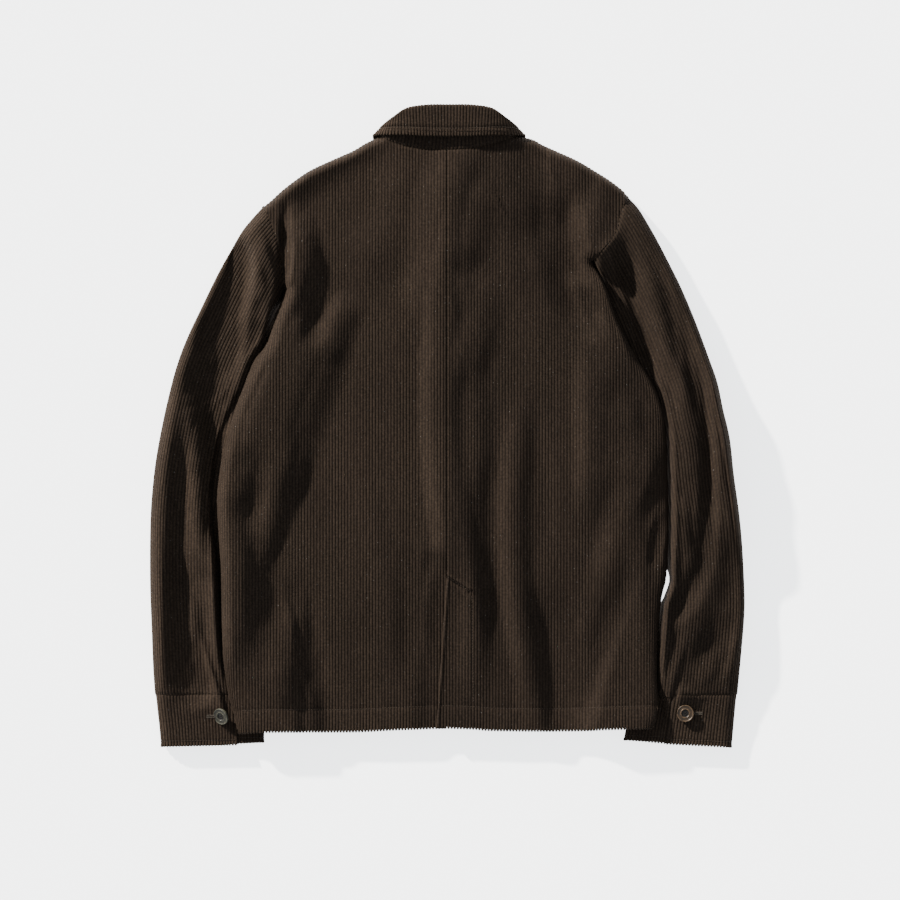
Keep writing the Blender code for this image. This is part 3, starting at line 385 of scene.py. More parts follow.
def sleeveFaces(half, x, y, inset=0.0):  # the heights of the upper and the under side
    gap, _, side = nearest(x, y, half["side"])
    outside = gap * side * half["sign"]
    narrowed = np.interp(y, sleeve["pressY"], sleeve["pressShare"])
    clear = smoothStep((outside / narrowed - body["pressMargin"]) / body["pressRun"])
    squeeze = (1.0 - clear) * smoothStep((half["underarm"] - y) / body["underarmRun"])
    free = table(half["crown"], y)
    seamGap = nearest(x, y, half["armhole"])[0]
    (sideFrom, sideRun), (wristFrom, wristRun) = sleeve["foldSide"], sleeve["foldWrist"]
    shown = smoothStep((outside - sideFrom) / sideRun) * smoothStep(seamGap / sleeve["foldSeam"])
    shown = shown * smoothStep((y - wristFrom) / wristRun)
    crown = free - (free - body["pressed"]) * squeeze + folds(half["folds"], x, y) * shown
    aboveUnderarm = smoothStep((y - half["underarm"] + sleeve["underarmRun"]) / sleeve["underarmRun"])
    atSeam = (1.0 - smoothStep(seamGap / sleeve["seamRun"])) * aboveUnderarm
    bodySide = bodyCrown(half, x, y, sleeveLift(half, x, y))
    crown = crown + (bodySide - crown) * atSeam * (1.0 - 0.6 * shown)
    crown = smoothMax(-smoothMax(-crown, -sleeve["highest"], 8.0), sleeve["lowest"], 5.0)
    edge = np.minimum(body["edge"], 0.5 * crown)
    rollEnds = [half["underarm"] - 60.0, half["underarm"] - 10.0]
    innerRoll = np.interp(y, rollEnds, [body["underRoll"], body["roll"]]) - inset
    outerGap = nearest(x, y, half["outer"])[0] - inset
    innerGap = nearest(x, y, half["inner"])[0] - inset
    underRoll = body["underRoll"] - inset
    top = rolled(outerGap, body["roll"] - inset) * rolled(innerGap, innerRoll)
    under = rolled(outerGap, underRoll) * rolled(innerGap, underRoll)
    upper = edge + (crown - inset - edge) * top + sewn("armhole", seamGap)
    return upper, edge - (edge - inset) * under


# a ribbed sheet: rows run across the wales, columns keep to one place in the cloth
def ribbed(cloth):  # the wale's height at each place, 0 in the groove and 1 on the crest
    return np.interp((cloth / wale["pitch"]) % 1.0, wale["places"], wale["heights"])


def waleColumns(low, high, places):
    counts = np.arange(math.floor(low / wale["pitch"]) - 1, math.ceil(high / wale["pitch"]) + 2)
    return ((counts[:, None] + np.array(places)) * wale["pitch"]).ravel()


# where each row meets each column, held between the row's ends
def placeColumns(dense, cloth, low, high, places):
    columns = waleColumns(low.min(), high.max(), places)
    held = np.clip(columns[None], low[:, None], high[:, None])
    spots = np.empty(held.shape + dense.shape[2:])
    for r in range(len(held)):
        for k in range(dense.shape[2]):
            spots[r, :, k] = np.interp(held[r], cloth[r], dense[r, :, k])
    start = (held <= low[:, None] + 1e-6).sum(1) - 1
    end = held.shape[1] - (held >= high[:, None] - 1e-6).sum(1)
    index = np.clip(np.arange(held.shape[1])[None], start[:, None], end[:, None])
    return spots, held, index + np.arange(len(held))[:, None] * held.shape[1]


def gridNormals(base, sign):
    normal = sign * np.cross(np.gradient(base, axis=1), np.gradient(base, axis=0))
    size = np.linalg.norm(normal, axis=-1)
    for r in range(len(normal)):
        good = np.flatnonzero(size[r] > 1e-5)
        if len(good):
            fill = good[np.clip(np.searchsorted(good, np.arange(len(size[r]))), 0, len(good) - 1)]
            normal[r] = normal[r, fill]
    return unit(normal)


# the first row's edge turned under, with its hem inside
def turnRows(base, normal, cloth, run, radius, depth, turns=5):
    away = unit(base[0] - base[1])
    rows, normals, runs = [], [], []
    for k in np.flatnonzero(run - run[0] <= depth)[:0:-1][::3]:
        rows.append(base[k] - 2.0 * radius * normal[k])
        normals.append(-normal[k])
        runs.append(run[0] - math.pi * radius - (run[k] - run[0]))
    for angle in np.linspace(math.pi, 0.0, turns, endpoint=False):
        rows.append(base[0] + radius * (math.sin(angle) * away - (1.0 - math.cos(angle)) * normal[0]))
        normals.append(math.cos(angle) * normal[0] + math.sin(angle) * away)
        runs.append(run[0] - radius * angle)
    extra = len(rows)
    cloth = np.concatenate([np.repeat(cloth[:1], extra, axis=0), cloth])
    base, normal = np.concatenate([rows, base]), np.concatenate([normals, normal])
    return base, normal, cloth, np.concatenate([runs, run]), extra


def addMesh(name, points, faces, cloth, run, material, flip):
    quads = faces[:, ::-1] if flip else faces
    sameFirst, sameLast = quads[:, 0] == quads[:, 1], quads[:, 2] == quads[:, 3]
    whole = quads[~(sameFirst | sameLast)]
    onlyFirst, onlyLast = quads[sameFirst & ~sameLast], quads[sameLast & ~sameFirst]
    halves = np.concatenate([onlyFirst[:, [0, 2, 3]], onlyLast[:, [0, 1, 2]]])
    loops = np.concatenate([whole.ravel(), halves.ravel()])
    used, loops = np.unique(loops, return_inverse=True)
    sizes = np.concatenate([np.full(len(whole), 4), np.full(len(halves), 3)])
    points[..., 2] = np.maximum(points[..., 2], lowest)
    mesh = bpy.data.meshes.new(name)
    mesh.vertices.add(len(used))
    mesh.vertices.foreach_set("co", ((points.reshape(-1, 3)[used] - middle) * mm).ravel())
    mesh.loops.add(len(loops))
    mesh.loops.foreach_set("vertex_index", loops)
    mesh.polygons.add(len(sizes))
    mesh.polygons.foreach_set("loop_start", np.concatenate([[0], np.cumsum(sizes)[:-1]]))
    uv = mesh.uv_layers.new(name="cloth")
    flat = np.stack([cloth.ravel(), run.ravel()], axis=1)[used] * 0.01
    uv.data.foreach_set("uv", flat[loops].ravel())
    mesh.update(calc_edges=True)
    mesh.validate()
    mesh.materials.append(material)
    mesh.shade_smooth()
    piece = bpy.data.objects.new(name, mesh)
    bpy.context.scene.collection.objects.link(piece)
    return piece


def gridFaces(index):
    block = np.stack([index[:-1, :-1], index[:-1, 1:], index[1:, 1:], index[1:, :-1]], axis=-1)
    return block.reshape(-1, 4)


def addSheet(name, base, normal, cloth, run, index, material, flip, edgeDrop=None, fold=None):
    depth = wale["relief"] * (ribbed(cloth) - 1.0)
    if fold is not None:  # the wales stand out more where the edge is turned over them
        atEdge = bell(run - fold, wale["edgeWidth"])[:, None]
        depth = depth + wale["edgeRelief"] * (ribbed(cloth) - 0.5) * atEdge
    points = base + depth[..., None] * normal
    runs = np.broadcast_to(run[:, None], cloth.shape) if run.ndim == 1 else run
    columns = cloth.shape[1]
    if edgeDrop is not None:  # a wall down from the first edge, and a facing in from it
        first = points.reshape(-1, 3)[index[:, 0]]
        inward = unit(points.reshape(-1, 3)[index[:, columns // 2]] - first) * [1.0, 1.0, 0.0]
        down = first - [0.0, 0.0, edgeDrop]
        count = len(points)
        facing = down + facingWidth * inward
        points = np.concatenate([facing[:, None], down[:, None], points], axis=1)
        cloth = np.concatenate([cloth[:, :1] + facingWidth, cloth[:, :1] + 1.0, cloth], axis=1)
        runs = np.concatenate([runs[:, :1], runs[:, :1], runs], axis=1)
        rows = np.arange(count)[:, None] * (columns + 2)
        index = np.concatenate([rows, rows + 1, index % columns + 2 + rows], axis=1)
    return addMesh(name, points, gridFaces(index), cloth, runs, material, flip)


# materials
class Signal:
    def __init__(self, finish, socket):
        self.finish = finish
        self.socket = socket

    def pair(self, operation, first, second):
        return self.finish.add("ShaderNodeMath", {"operation": operation}, {0: first, 1: second})

    def __add__(self, other):
        return self.pair("ADD", self, other)

    def __radd__(self, other):
        return self.pair("ADD", other, self)

    def __mul__(self, other):
        return self.pair("MULTIPLY", self, other)

    def __rmul__(self, other):
        return self.pair("MULTIPLY", other, self)

    def __truediv__(self, other):
        return self.pair("DIVIDE", self, other)

    def __rtruediv__(self, other):
        return self.pair("DIVIDE", other, self)

    def __pow__(self, other):
        return self.pair("POWER", self, other)

    def __rpow__(self, other):
        return self.pair("POWER", other, self)


class Finish:
    def __init__(self, name, roughness):
        self.material = bpy.data.materials.new(name)
        self.material.use_nodes = True
        self.tree = self.material.node_tree
        self.shader = self.tree.nodes["Principled BSDF"]
        self.shader.inputs["Roughness"].default_value = roughness

    def put(self, socket, value):
        if isinstance(value, Signal):
            self.tree.links.new(value.socket, socket)
        else:
            socket.default_value = value

    def add(self, kind, settings, sockets, output=0):
        node = self.tree.nodes.new(kind)
        for key, value in settings.items():
            setattr(node, key, value)
        for key, value in sockets.items():
            self.put(node.inputs[key], value)
        return Signal(self, node.outputs[output])

    def give(self, values):
        for key, value in values.items():
            self.put(self.shader.inputs[key], value)

    def blend(self, factor, first, second):
        return self.add("ShaderNodeMix", {"data_type": "RGBA"}, {0: factor, 6: first, 7: second}, 2)

    def noise(self, vector, scale, detail=2.0, roughness=0.5):
        sockets = {"Vector": vector, "Scale": scale, "Detail": detail, "Roughness": roughness}
        return self.add("ShaderNodeTexNoise", {}, sockets)

    def bump(self, height, strength, distance):
        sockets = {"Height": height, "Strength": strength, "Distance": distance}
        return self.add("ShaderNodeBump", {}, sockets)

    def spread(self, value, low, high, toLow, toHigh):
        sockets = {"Value": value, "From Min": low, "From Max": high, "To Min": toLow, "To Max": toHigh}
        return self.add("ShaderNodeMapRange", {}, sockets)

    def stretch(self, vector, scale):
        return self.add("ShaderNodeVectorMath", {"operation": "MULTIPLY"}, {0: vector, 1: scale})


# the cloth's colours: the groove's colour is a little bluer and, by each piece's depth, darker than the
# crest's, as painted shade between the wales; the lint flecks and the sheen are the cloth's own
dyeAndGrooveShade = {
    "crest": (0.0185, 0.0124, 0.0083), "groove": (0.0185, 0.013, 0.0102), "lint": [0.12, 0.11, 0.1, 1.0],
    "lintShare": 0.55, "sheen": 0.03, "sheenRoughness": 0.45, "sheenTint": (0.75, 0.55, 0.4, 1.0),
    # the sizes of the cloth's uneven patches, across and along the wales
    "streak": (3.7, 16.0), "nap": (90.0, 140.0), "beads": (2.9, 2.3),
}


def makeCorduroy(name, tone, depth=0.4):  # the depth says how much painted shade darkens the grooves
    finish = Finish(name, 0.9)
    place = finish.add("ShaderNodeUVMap", {"uv_map": "cloth"}, {})
    inMm = finish.stretch(place, (100.0, 100.0, 0.0))
    across = finish.add("ShaderNodeSeparateXYZ", {}, {0: inMm})
    phase = finish.add("ShaderNodeMath", {"operation": "FRACT"}, {0: across / wale["pitch"]})
    crestMask = finish.add("ShaderNodeMath", {"operation": "SINE"}, {0: phase * math.pi}) ** 1.7
    fuzz = finish.noise(finish.stretch(inMm, (1.9, 1.1, 0.0)), 1.0, 3.0, 0.65)
    streak, nap, beads = (
        finish.noise(finish.stretch(inMm, (1.0 / dyeAndGrooveShade[key][0], 1.0 / dyeAndGrooveShade[key][1], 0.0)), 1.0, detail)
        for key, detail in (("streak", 2.0), ("nap", 2.0), ("beads", 1.0))
    )
    lint = finish.noise(finish.stretch(inMm, (0.62, 0.62, 0.0)), 1.0, 0.0)
    fleck = finish.spread(lint, 0.83, 0.86, 0.0, 1.0)
    level = finish.spread(fuzz, 0.3, 0.7, 0.7, 1.25) * finish.spread(streak, 0.3, 0.7, 0.82, 1.16)
    level = level * finish.spread(nap, 0.3, 0.7, 0.88, 1.1) * finish.spread(beads, 0.28, 0.72, 0.68, 1.34)
    crest = [part * tone for part in dyeAndGrooveShade["crest"]] + [1.0]
    groove = [part * tone * (1.0 - depth) for part in dyeAndGrooveShade["groove"]] + [1.0]
    # painted shade: the grooves between the wales take the darker groove colour, the crests the lighter one
    colour = finish.blend(crestMask, groove, crest)
    shaded = finish.add("ShaderNodeVectorMath", {"operation": "SCALE"}, {0: colour, "Scale": level})
    finish.give({
        "Base Color": finish.blend(fleck * dyeAndGrooveShade["lintShare"], shaded, dyeAndGrooveShade["lint"]),
        "Roughness": finish.spread(fuzz, 0.3, 0.7, 0.8, 1.0),
        "Normal": finish.bump(fuzz, 0.5, 0.0003),
        "Sheen Weight": dyeAndGrooveShade["sheen"],
        "Sheen Roughness": dyeAndGrooveShade["sheenRoughness"],
        "Sheen Tint": dyeAndGrooveShade["sheenTint"],
        "Specular IOR Level": 0.05,
    })
    return finish.material


# each piece's copy of the corduroy is lighter or darker by its first number: on the back and the sleeves this
# is painted light and shade, the left sleeve lighter and the right back and right sleeve darker, as the light
# falls; the collar and the cuffs are made lighter; the right back's second number gives its grooves less
# painted shade
corduroy = makeCorduroy("corduroyLeft", 1.0)
cloths = {
    "backRight": makeCorduroy("corduroyRight", 0.9, 0.3),
    "sleeveLeft": makeCorduroy("corduroySleeveLeft", 1.16),
    "sleeveRight": makeCorduroy("corduroySleeveRight", 0.92),
    "collarFall": makeCorduroy("corduroyCollar", 1.3),
    "cuffLeft": makeCorduroy("corduroyCuffLeft", 1.2),
    "cuffRight": makeCorduroy("corduroyCuffRight", 1.2),
}
print("materials ready")

# the two backs
vent = {
    "top": -178.0, "lap": 4.4, "underlap": 30.0, "seamGap": 0.7, "rows": (0.2105, 0.288, 44),
    # the lap's edge by height, and the corners of its sewing
    "edgeY": [-361.5, -178.0], "edgeX": [-13.0, 0.0],
    "sewing": np.array([(-1.5, -176.5), (29.8, -196.7), (31.7, -333.0)]),
    "troughDrop": 3.9, "stitchDrop": 2.3, "edgeRadius": 1.8,
}
panel = {
    "places": [0.0, 0.1, 0.28, 0.5, 0.72, 0.9],
    "plainPlaces": [0.0, 0.2, 0.5, 0.8],
    "hemRows": [1.5, 5.0, 10.0, 16.0, 21.5, 24.5, 26.2, 27.8, 30.5, 35.0],
    "topRows": [0.0, 0.4, 1.2, 2.5, 4.4, 6.8, 9.8, 13.4, 18.0, 24.0],
    "stitchLine": 27.0, "puffLine": 13.0, "placketLine": 8.0, "hemRadius": 1.5, "hemDepth": 27.0,
    "frontHem": 2.6, "length": 640.0, "backPitch": 5.6, "frontPitch": 10.0, "widest": 292.0,
}


def edgeArc(gap):  # how much longer the cloth is than its plan, over a rolled edge
    angle = np.linspace(0.0, 0.5 * math.pi, 60)
    across, down = body["roll"] * np.sin(angle), body["sideHeight"] * np.cos(angle)
    speed = np.hypot(0.5 * (across[1:] + across[:-1]), 0.5 * (down[1:] + down[:-1]))
    arc = np.concatenate([[0.0], np.cumsum(speed * np.diff(angle))])
    plan = body["roll"] * (1.0 - np.cos(angle))
    extra = (arc[-1] - arc) - (body["roll"] - plan)
    return np.interp(gap, plan, extra)


def panelRows(hem, top, spacing, closer):  # the rows' heights at each place, from the hem up
    low, high = np.array(panel["hemRows"]), np.array(panel["topRows"])[::-1]
    count = int(panel["length"] / spacing)
    share = np.sort(np.concatenate([np.linspace(0.0, 1.0, count)[1:-1], closer]))[:, None]
    start, end = hem + low[-1], top - high[0]
    return np.concatenate([hem + low[:, None], start + share * (end - start), top - high[:, None]])


def sideReach(half, ys):  # how far out the outline is at each height
    line = np.concatenate([half["side"][::-1], half["armhole"][1:]])
    return np.interp(ys, line[:, 1], np.abs(line[:, 0]))


def addPanel(name, half, front, startLine=None):
    sign = half["sign"]
    if front:
        neck, places, centre = half["frontNeck"], panel["plainPlaces"], -body["frontLap"]
        spacing, shorter = panel["frontPitch"], panel["frontHem"]
    else:
        neck, places, centre = half["backNeck"], panel["places"], -vent["underlap"] - 2.0
        spacing, shorter = panel["backPitch"], 0.0
    outward = np.linspace(centre, panel["widest"], 400)
    xs = sign * outward
    hem, top = lineAt(half["hem"], xs) + shorter, lineAt(np.concatenate([half["shoulder"], neck[1:]]), xs)
    closer = np.linspace(*vent["rows"]) if half is rightHalf and not front else []
    ys = panelRows(hem, top, spacing, closer)
    across = np.broadcast_to(outward, ys.shape)
    gap = nearest(sign * across, ys, half["side"])[0]
    cloth = across + edgeArc(gap)
    limit = sideReach(half, ys)
    beyond = np.argmax(across > limit, axis=1)
    high = np.empty(len(ys))
    for r, k in enumerate(beyond):
        a, b = (across[r, j] - limit[r, j] for j in (k - 1, k))
        high[r] = cloth[r, k - 1] + (cloth[r, k] - cloth[r, k - 1]) * -a / (b - a)
    cloth = np.maximum.accumulate(cloth, axis=1)
    middleY = np.array([np.interp(0.0, outward, row) for row in ys])
    low = startLine(middleY) if startLine else np.full(len(ys), centre)
    dense = np.stack([sign * across, ys], axis=-1)
    spots, held, index = placeColumns(dense, cloth, low, high, places)
    x, y = spots[..., 0], spots[..., 1]
    if front:
        z = frontHeight(half, x, y) + sewn("placket", held - held.min() - panel["placketLine"])
    else:
        z = backHeight(half, x, y) + backSewing(half, x, y)
    base = np.concatenate([spots, z[..., None]], axis=-1)
    face = -1.0 if front else 1.0
    normal = gridNormals(base, sign * face)
    radius, depth = panel["hemRadius"], panel["hemDepth"]
    base, normal, held, run, extra = turnRows(base, normal, held, middleY, radius, depth)
    count = held.shape[1]
    index = np.concatenate([index[:1] + k * count for k in range(extra)] + [index + extra * count])
    apex = middleY[0] - 0.5 * math.pi * radius
    finish, flip = cloths.get(name, corduroy), (sign < 0) != front
    return addSheet(name, base, normal, held, run, index, finish, flip, 2.0 * face, apex)


def backSewing(half, x, y):  # the seams, the vent's laps and the hem's stitched line
    above = y - lineAt(half["hem"], x)
    z = sewn("hem", above - panel["stitchLine"]) + sewn("hemPuff", above - panel["puffLine"])
    closed = smoothStep((y - vent["top"] + 6.0) / 12.0)
    z = z + sewn("centre", x) * closed + sewn("centrePuff", np.abs(x) - 4.0) * closed
    z = z + sewn("armhole", nearest(x, y, half["armhole"])[0])
    z = z + sewn("neck", nearest(x, y, half["backNeck"])[0])
    if half is leftHalf:  # it sinks under the lap
        run = smoothStep((vent["top"] + 34.0 - y) / 30.0)
        return z - vent["lap"] * run * smoothStep((x + 46.0) / 28.0)
    below = smoothStep((vent["top"] - y) / 10.0)
    inward = x - np.interp(y, vent["edgeY"], vent["edgeX"])
    radius = vent["edgeRadius"]
    roundOff = np.clip(1.0 - inward / radius, 0.0, 1.0)
    z = z - radius * (1.0 - np.sqrt(1.0 - roundOff**2)) * below
    slant, facing = nearest(x, y, vent["sewing"][:2])[0], nearest(x, y, vent["sewing"][1:])[0]
    trough = nearest(x, y, vent["sewing"][:2] - [0.0, vent["troughDrop"]])[0]
    z = z + sewn("lapEdge", inward - radius) * below + sewn("slant", slant)
    return z + sewn("trough", trough) + sewn("facing", facing)


def leftStart(ys):
    return -vent["underlap"] * (ys < vent["top"] - 2.0) - vent["seamGap"]


def rightStart(ys):
    return np.interp(ys, vent["edgeY"], [vent["edgeX"][0], -vent["seamGap"]])


backLeft = addPanel("backLeft", leftHalf, False, leftStart)
backRight = addPanel("backRight", rightHalf, False, rightStart)
print("backs made", len(backLeft.data.polygons), len(backRight.data.polygons))
frontLeft = addPanel("frontLeft", leftHalf, True)
frontRight = addPanel("frontRight", rightHalf, True)
print("fronts made", len(frontLeft.data.polygons))

# sleeves: one tube each, its wales beside the outer edge
def addSleeve(name, half):
    innerLine, outerLine = (cutAt(half[key], sleeve["seam"])[0] for key in ("inner", "outer"))
    between = np.linspace(0.9, 100.0, sleeve["rows"] - 6)
    share = np.concatenate([[0.0, 0.15, 0.35, 0.6], between, [100.6, 101.0]]) / 101.0
    left, right = along(innerLine, share), along(outerLine, share)
    steps = np.linspace(0.0, 1.0, sleeve["dense"])
    armhole = along(half["armhole"], steps)
    end = left[-1] + steps[:, None] * (right[-1] - left[-1])
    v, u = share[:, None, None], steps[None, :, None]
    plan = (1 - u) * left[:, None] + u * right[:, None] + (1 - v) * armhole[None] + v * end[None]
    plan = plan - (1 - u) * (1 - v) * armhole[0] - u * (1 - v) * armhole[-1]
    plan = plan - (1 - u) * v * end[0] - u * v * end[-1]
    gap = nearest(plan[..., 0], plan[..., 1], half["outer"])[0]
    fromOuter = np.maximum.accumulate((gap + edgeArc(0.0) - edgeArc(gap))[:, ::-1], axis=1)
    # the under side from the inner edge out, then the top back to it
    plan = np.concatenate([plan, plan[:, -2::-1]], axis=1)
    cloth = np.concatenate([-fromOuter[:, ::-1], fromOuter[:, 1:]], axis=1) + 1e-5 * np.arange(plan.shape[1])
    spots, held, index = placeColumns(plan, cloth, cloth[:, 0], cloth[:, -1], panel["places"])
    x, y = spots[..., 0], spots[..., 1]
    top, under = sleeveFaces(half, x, y)
    z = np.where(held > 0.0, top, under)
    seamTop = backHeight(half, x[0], y[0]) + seams["armhole"][0]
    z[0] = np.where(held[0] > 0.0, seamTop, frontHeight(half, x[0], y[0]))
    z = z + sewn("wrist", y - sleeve["seam"])
    base = np.concatenate([spots, z[..., None]], axis=-1)
    flat, upwards = np.array([1.0, 1.0, 0.0]), np.array([0.0, 0.0, 1.0])
    sunk = np.where(held[0] > 0.0, -2.0, 1.4)[:, None]
    first = base[0] + sleeve["intoArmhole"] * unit((base[0] - base[4]) * flat) + sunk * upwards
    last = base[-1] + sleeve["intoCuff"] * unit((base[-1] - base[-5]) * flat) + 0.9 * sunk * upwards
    centre = 0.5 * (last.min(0) + last.max(0))
    last = last + (centre - last) * [0.035, 0.0, 0.0]
    base = np.concatenate([first[None], base, last[None]])
    count = held.shape[1]
    held = np.concatenate([held[:1], held, held[-1:]])
    index = np.concatenate([index[:1], index + count, index[-1:] + 2 * count])
    normal = gridNormals(base, half["sign"])
    length = lengthOf(outerLine)
    run = np.concatenate([[-sleeve["intoArmhole"]], share * length, [length + sleeve["intoCuff"]]])
    return addSheet(name, base, normal, held, -run, index, cloths.get(name, corduroy), half["sign"] > 0)


sleeveLeft = addSleeve("sleeveLeft", leftHalf)
sleeveRight = addSleeve("sleeveRight", rightHalf)
print("sleeves made", len(sleeveLeft.data.polygons))

# collar: stand and fall, from front to front round the back
collar = {
    "centre": 2.5, "rollRadius": 3.4, "gap": 0.9, "frontStop": 4.0, "wall": 2.0, "stitch": 7.8,
    "hem": 18.0, "standHem": 12.0, "hookSteps": 12, "fallRows": 15,
    "stands": (("collarStand", -1.0, 1.0), ("collarStandLeft", -2.0, -1.12), ("collarStandRight", 1.12, 2.0)),
    # place on the neck seam, turn of the outer side, then the roll and the fall's edge, each x, y, z
    "stations": [
        (0.00, 0, 0, 382.6, 44.0, 0, 349.0, 43.5),
        (0.30, 2, 26, 382.4, 43.8, 25, 349.3, 43.3),
        (0.58, 10, 51, 378.8, 42.0, 50, 350.5, 42.0),
        (0.80, 28, 67, 369.4, 37.0, 72, 350.8, 37.0),
        (0.93, 56, 77, 361.5, 27.5, 86, 351.0, 26.0),
        (1.00, 86, 80.5, 357.0, 17.0, 90.5, 351.0, 12.0),
        (1.05, 113, 78.2, 351.5, 10.0, 89.8, 348.0, 4.5),
        (1.12, 145, 75, 343.0, 6.5, 88.5, 340.5, 0.9),
        (1.35, 175, 64, 324.0, 3.7, 88, 300.0, 0.2),
        (1.68, 180, 42, 305.0, 3.7, 68, 250.0, 0.2),
        (2.00, 180, 4, 290.0, 3.7, 42, 214.0, 0.2),
    ],
}


def beside(line, distance):
    run = unit(np.gradient(line, axis=0))
    return line + distance * np.stack([-run[:, 1], run[:, 0]], axis=1)


def neckLines(half):
    neck = half["backNeck"]
    back = neck[half["sign"] * neck[:, 0] >= -0.01][::-1]
    front = half["frontNeck"]
    backZ = backHeight(half, back[:, 0], back[:, 1])
    frontZ = frontHeight(half, front[:, 0], front[:, 1])
    gap = half["sign"] * collar["gap"]
    back, front = beside(back, gap), beside(front, -gap)
    back[-1] = front[0] = 0.5 * (back[-1] + front[0])
    backLine = np.concatenate([back, backZ[:, None]], axis=1)
    frontLine = along(np.concatenate([front, frontZ[:, None]], axis=1), np.linspace(0.0, 1.0, 400))
    return backLine, frontLine[half["sign"] * (frontLine[:, 0] - collar["centre"]) >= collar["frontStop"]]


def collarLines():
    rows = spline(collar["stations"], steps=40)
    halves = []
    for half in (leftHalf, rightHalf):
        back, front = neckLines(half)
        behind = along(back, np.minimum(rows[:, 0], 1.0))
        before = along(front, np.maximum(rows[:, 0] - 1.0, 0.0))
        foot = np.where(rows[:, :1] <= 1.0, behind, before)
        mirror, centre = np.array([half["sign"], 1.0, 1.0]), np.array([collar["centre"], 0.0, 0.0])
        turn = np.radians(rows[:, 1])
        out = np.stack([half["sign"] * np.sin(turn), np.zeros(len(turn)), np.cos(turn)], axis=1)
        roll, edge = rows[:, 2:5] * mirror + centre, rows[:, 5:8] * mirror + centre
        halves.append(np.concatenate([foot, roll, edge, out, rows[:, :1] * half["sign"]], axis=1))
    return np.concatenate([halves[0][::-1], halves[1][1:]])


def columnsUpTo(length):
    return np.unique(np.clip(waleColumns(0.0, length, panel["places"]), 0.0, length))


# the collar's lines at each place of the wales, from a low to a high station
def waleStations(lines, low, high):
    lines = lines[(lines[:, -1] >= low - 1e-9) & (lines[:, -1] <= high + 1e-9)]
    length = distances(0.5 * (lines[:, 3:6] + lines[:, 6:9]))
    columns = columnsUpTo(length[-1])
    found = np.stack([np.interp(columns, length, lines[:, k]) for k in range(lines.shape[1])], axis=1)
    foot, roll, edge, out = found[:, :3], found[:, 3:6], found[:, 6:9], unit(found[:, 9:12])
    up = roll - foot
    up = unit(up - (up * out).sum(-1, keepdims=True) * out)
    return foot, roll, edge, out, up, columns


def addCollarSheet(name, rows, columns, faceAway, hem):
    base = np.array(rows)
    run = distances(base[:, len(columns) // 2])
    cloth = np.broadcast_to(columns, base.shape[:2])
    normal = gridNormals(base, 1.0)
    flip = bool((normal * faceAway).sum() >= 0.0)
    if not flip:
        normal = -normal
    radius = 0.5 * collar["wall"]
    fold = run[0] - 0.5 * math.pi * radius
    base, normal, cloth, run, _ = turnRows(base, normal, cloth, run, radius, hem)
    index = np.arange(cloth.size).reshape(cloth.shape)
    return addSheet(name, base, normal, cloth, run, index, cloths.get(name, corduroy), flip, fold=fold)


def makeCollar():
    lines = collarLines()
    _, roll, edge, out, up, columns = waleStations(lines, -2.0, 2.0)
    radius = collar["rollRadius"]
    hook = [
        roll + radius * (math.sin(angle) * up - math.cos(angle) * out)
        for angle in np.linspace(math.pi, 0.0, collar["hookSteps"])
    ]
    start = hook[0]
    fall = []
    for share in np.linspace(0.0, 1.0, collar["fallRows"]):
        line = edge + share * (start - edge)
        gap = share * np.linalg.norm(start - edge, axis=-1, keepdims=True)
        height = sewn("collar", gap - collar["stitch"]) + sewn("collarRim", gap - 3.5)
        fall.append(line + (height + sewn("collarPuff", gap - 12.0)) * out)
    pieces = [addCollarSheet("collarFall", fall[:-1] + hook, columns, out, collar["hem"])]
    shares = np.concatenate([[0.0, 0.03, 0.07, 0.12], np.linspace(0.2, 1.0, 9)])
    for name, low, high in collar["stands"]:
        foot, roll, _, out, up, columns = waleStations(lines, low, high)
        top = roll - (radius - collar["wall"]) * out - 0.3 * up
        rows = [foot + share * (top - foot) for share in shares]
        if name == "collarStand":
            rows.insert(0, foot + [0.0, -2.4, -1.8])  # its allowance, under the backs
        pieces.append(addCollarSheet(name, rows[::-1], columns, out, collar["standHem"]))
    return pieces


def collarStitchLine():  # a little in from the fall's edge
    lines = collarLines()
    roll, edge, out = lines[:, 3:6], lines[:, 6:9], unit(lines[:, 9:12])
    return edge + collar["stitch"] * unit(roll - edge) + (collar["rollRadius"] - 0.9) * out


collarFall, collarStand, collarStandLeft, collarStandRight = makeCollar()
print("collar made", len(collarFall.data.polygons))

# cuffs: an open band wound once round the wrist, its end buttoned over its start
cuff = {
    "inset": 1.2, "layers": 2.6, "short": 2.4, "seam": -321.3, "edge": -383.0, "stitch": 5.0, "hem": 14.0,
    # the buttons' places, and how far the ends reach past them and under
    "left": (-271.2, -348.0), "right": (286.0, -344.3), "toEnd": 20.0, "underEnd": 40.0,
    "edgeRows": [0.0, 1.5, 3.0, 4.2, 5.0, 5.8, 7.0, 9.0],  # in from the edge, in millimetres
    "topRows": [0.035, 0.02, 0.008, 0.0],  # the last ones, as shares of the depth
}
cuff["depth"] = cuff["seam"] - cuff["edge"]


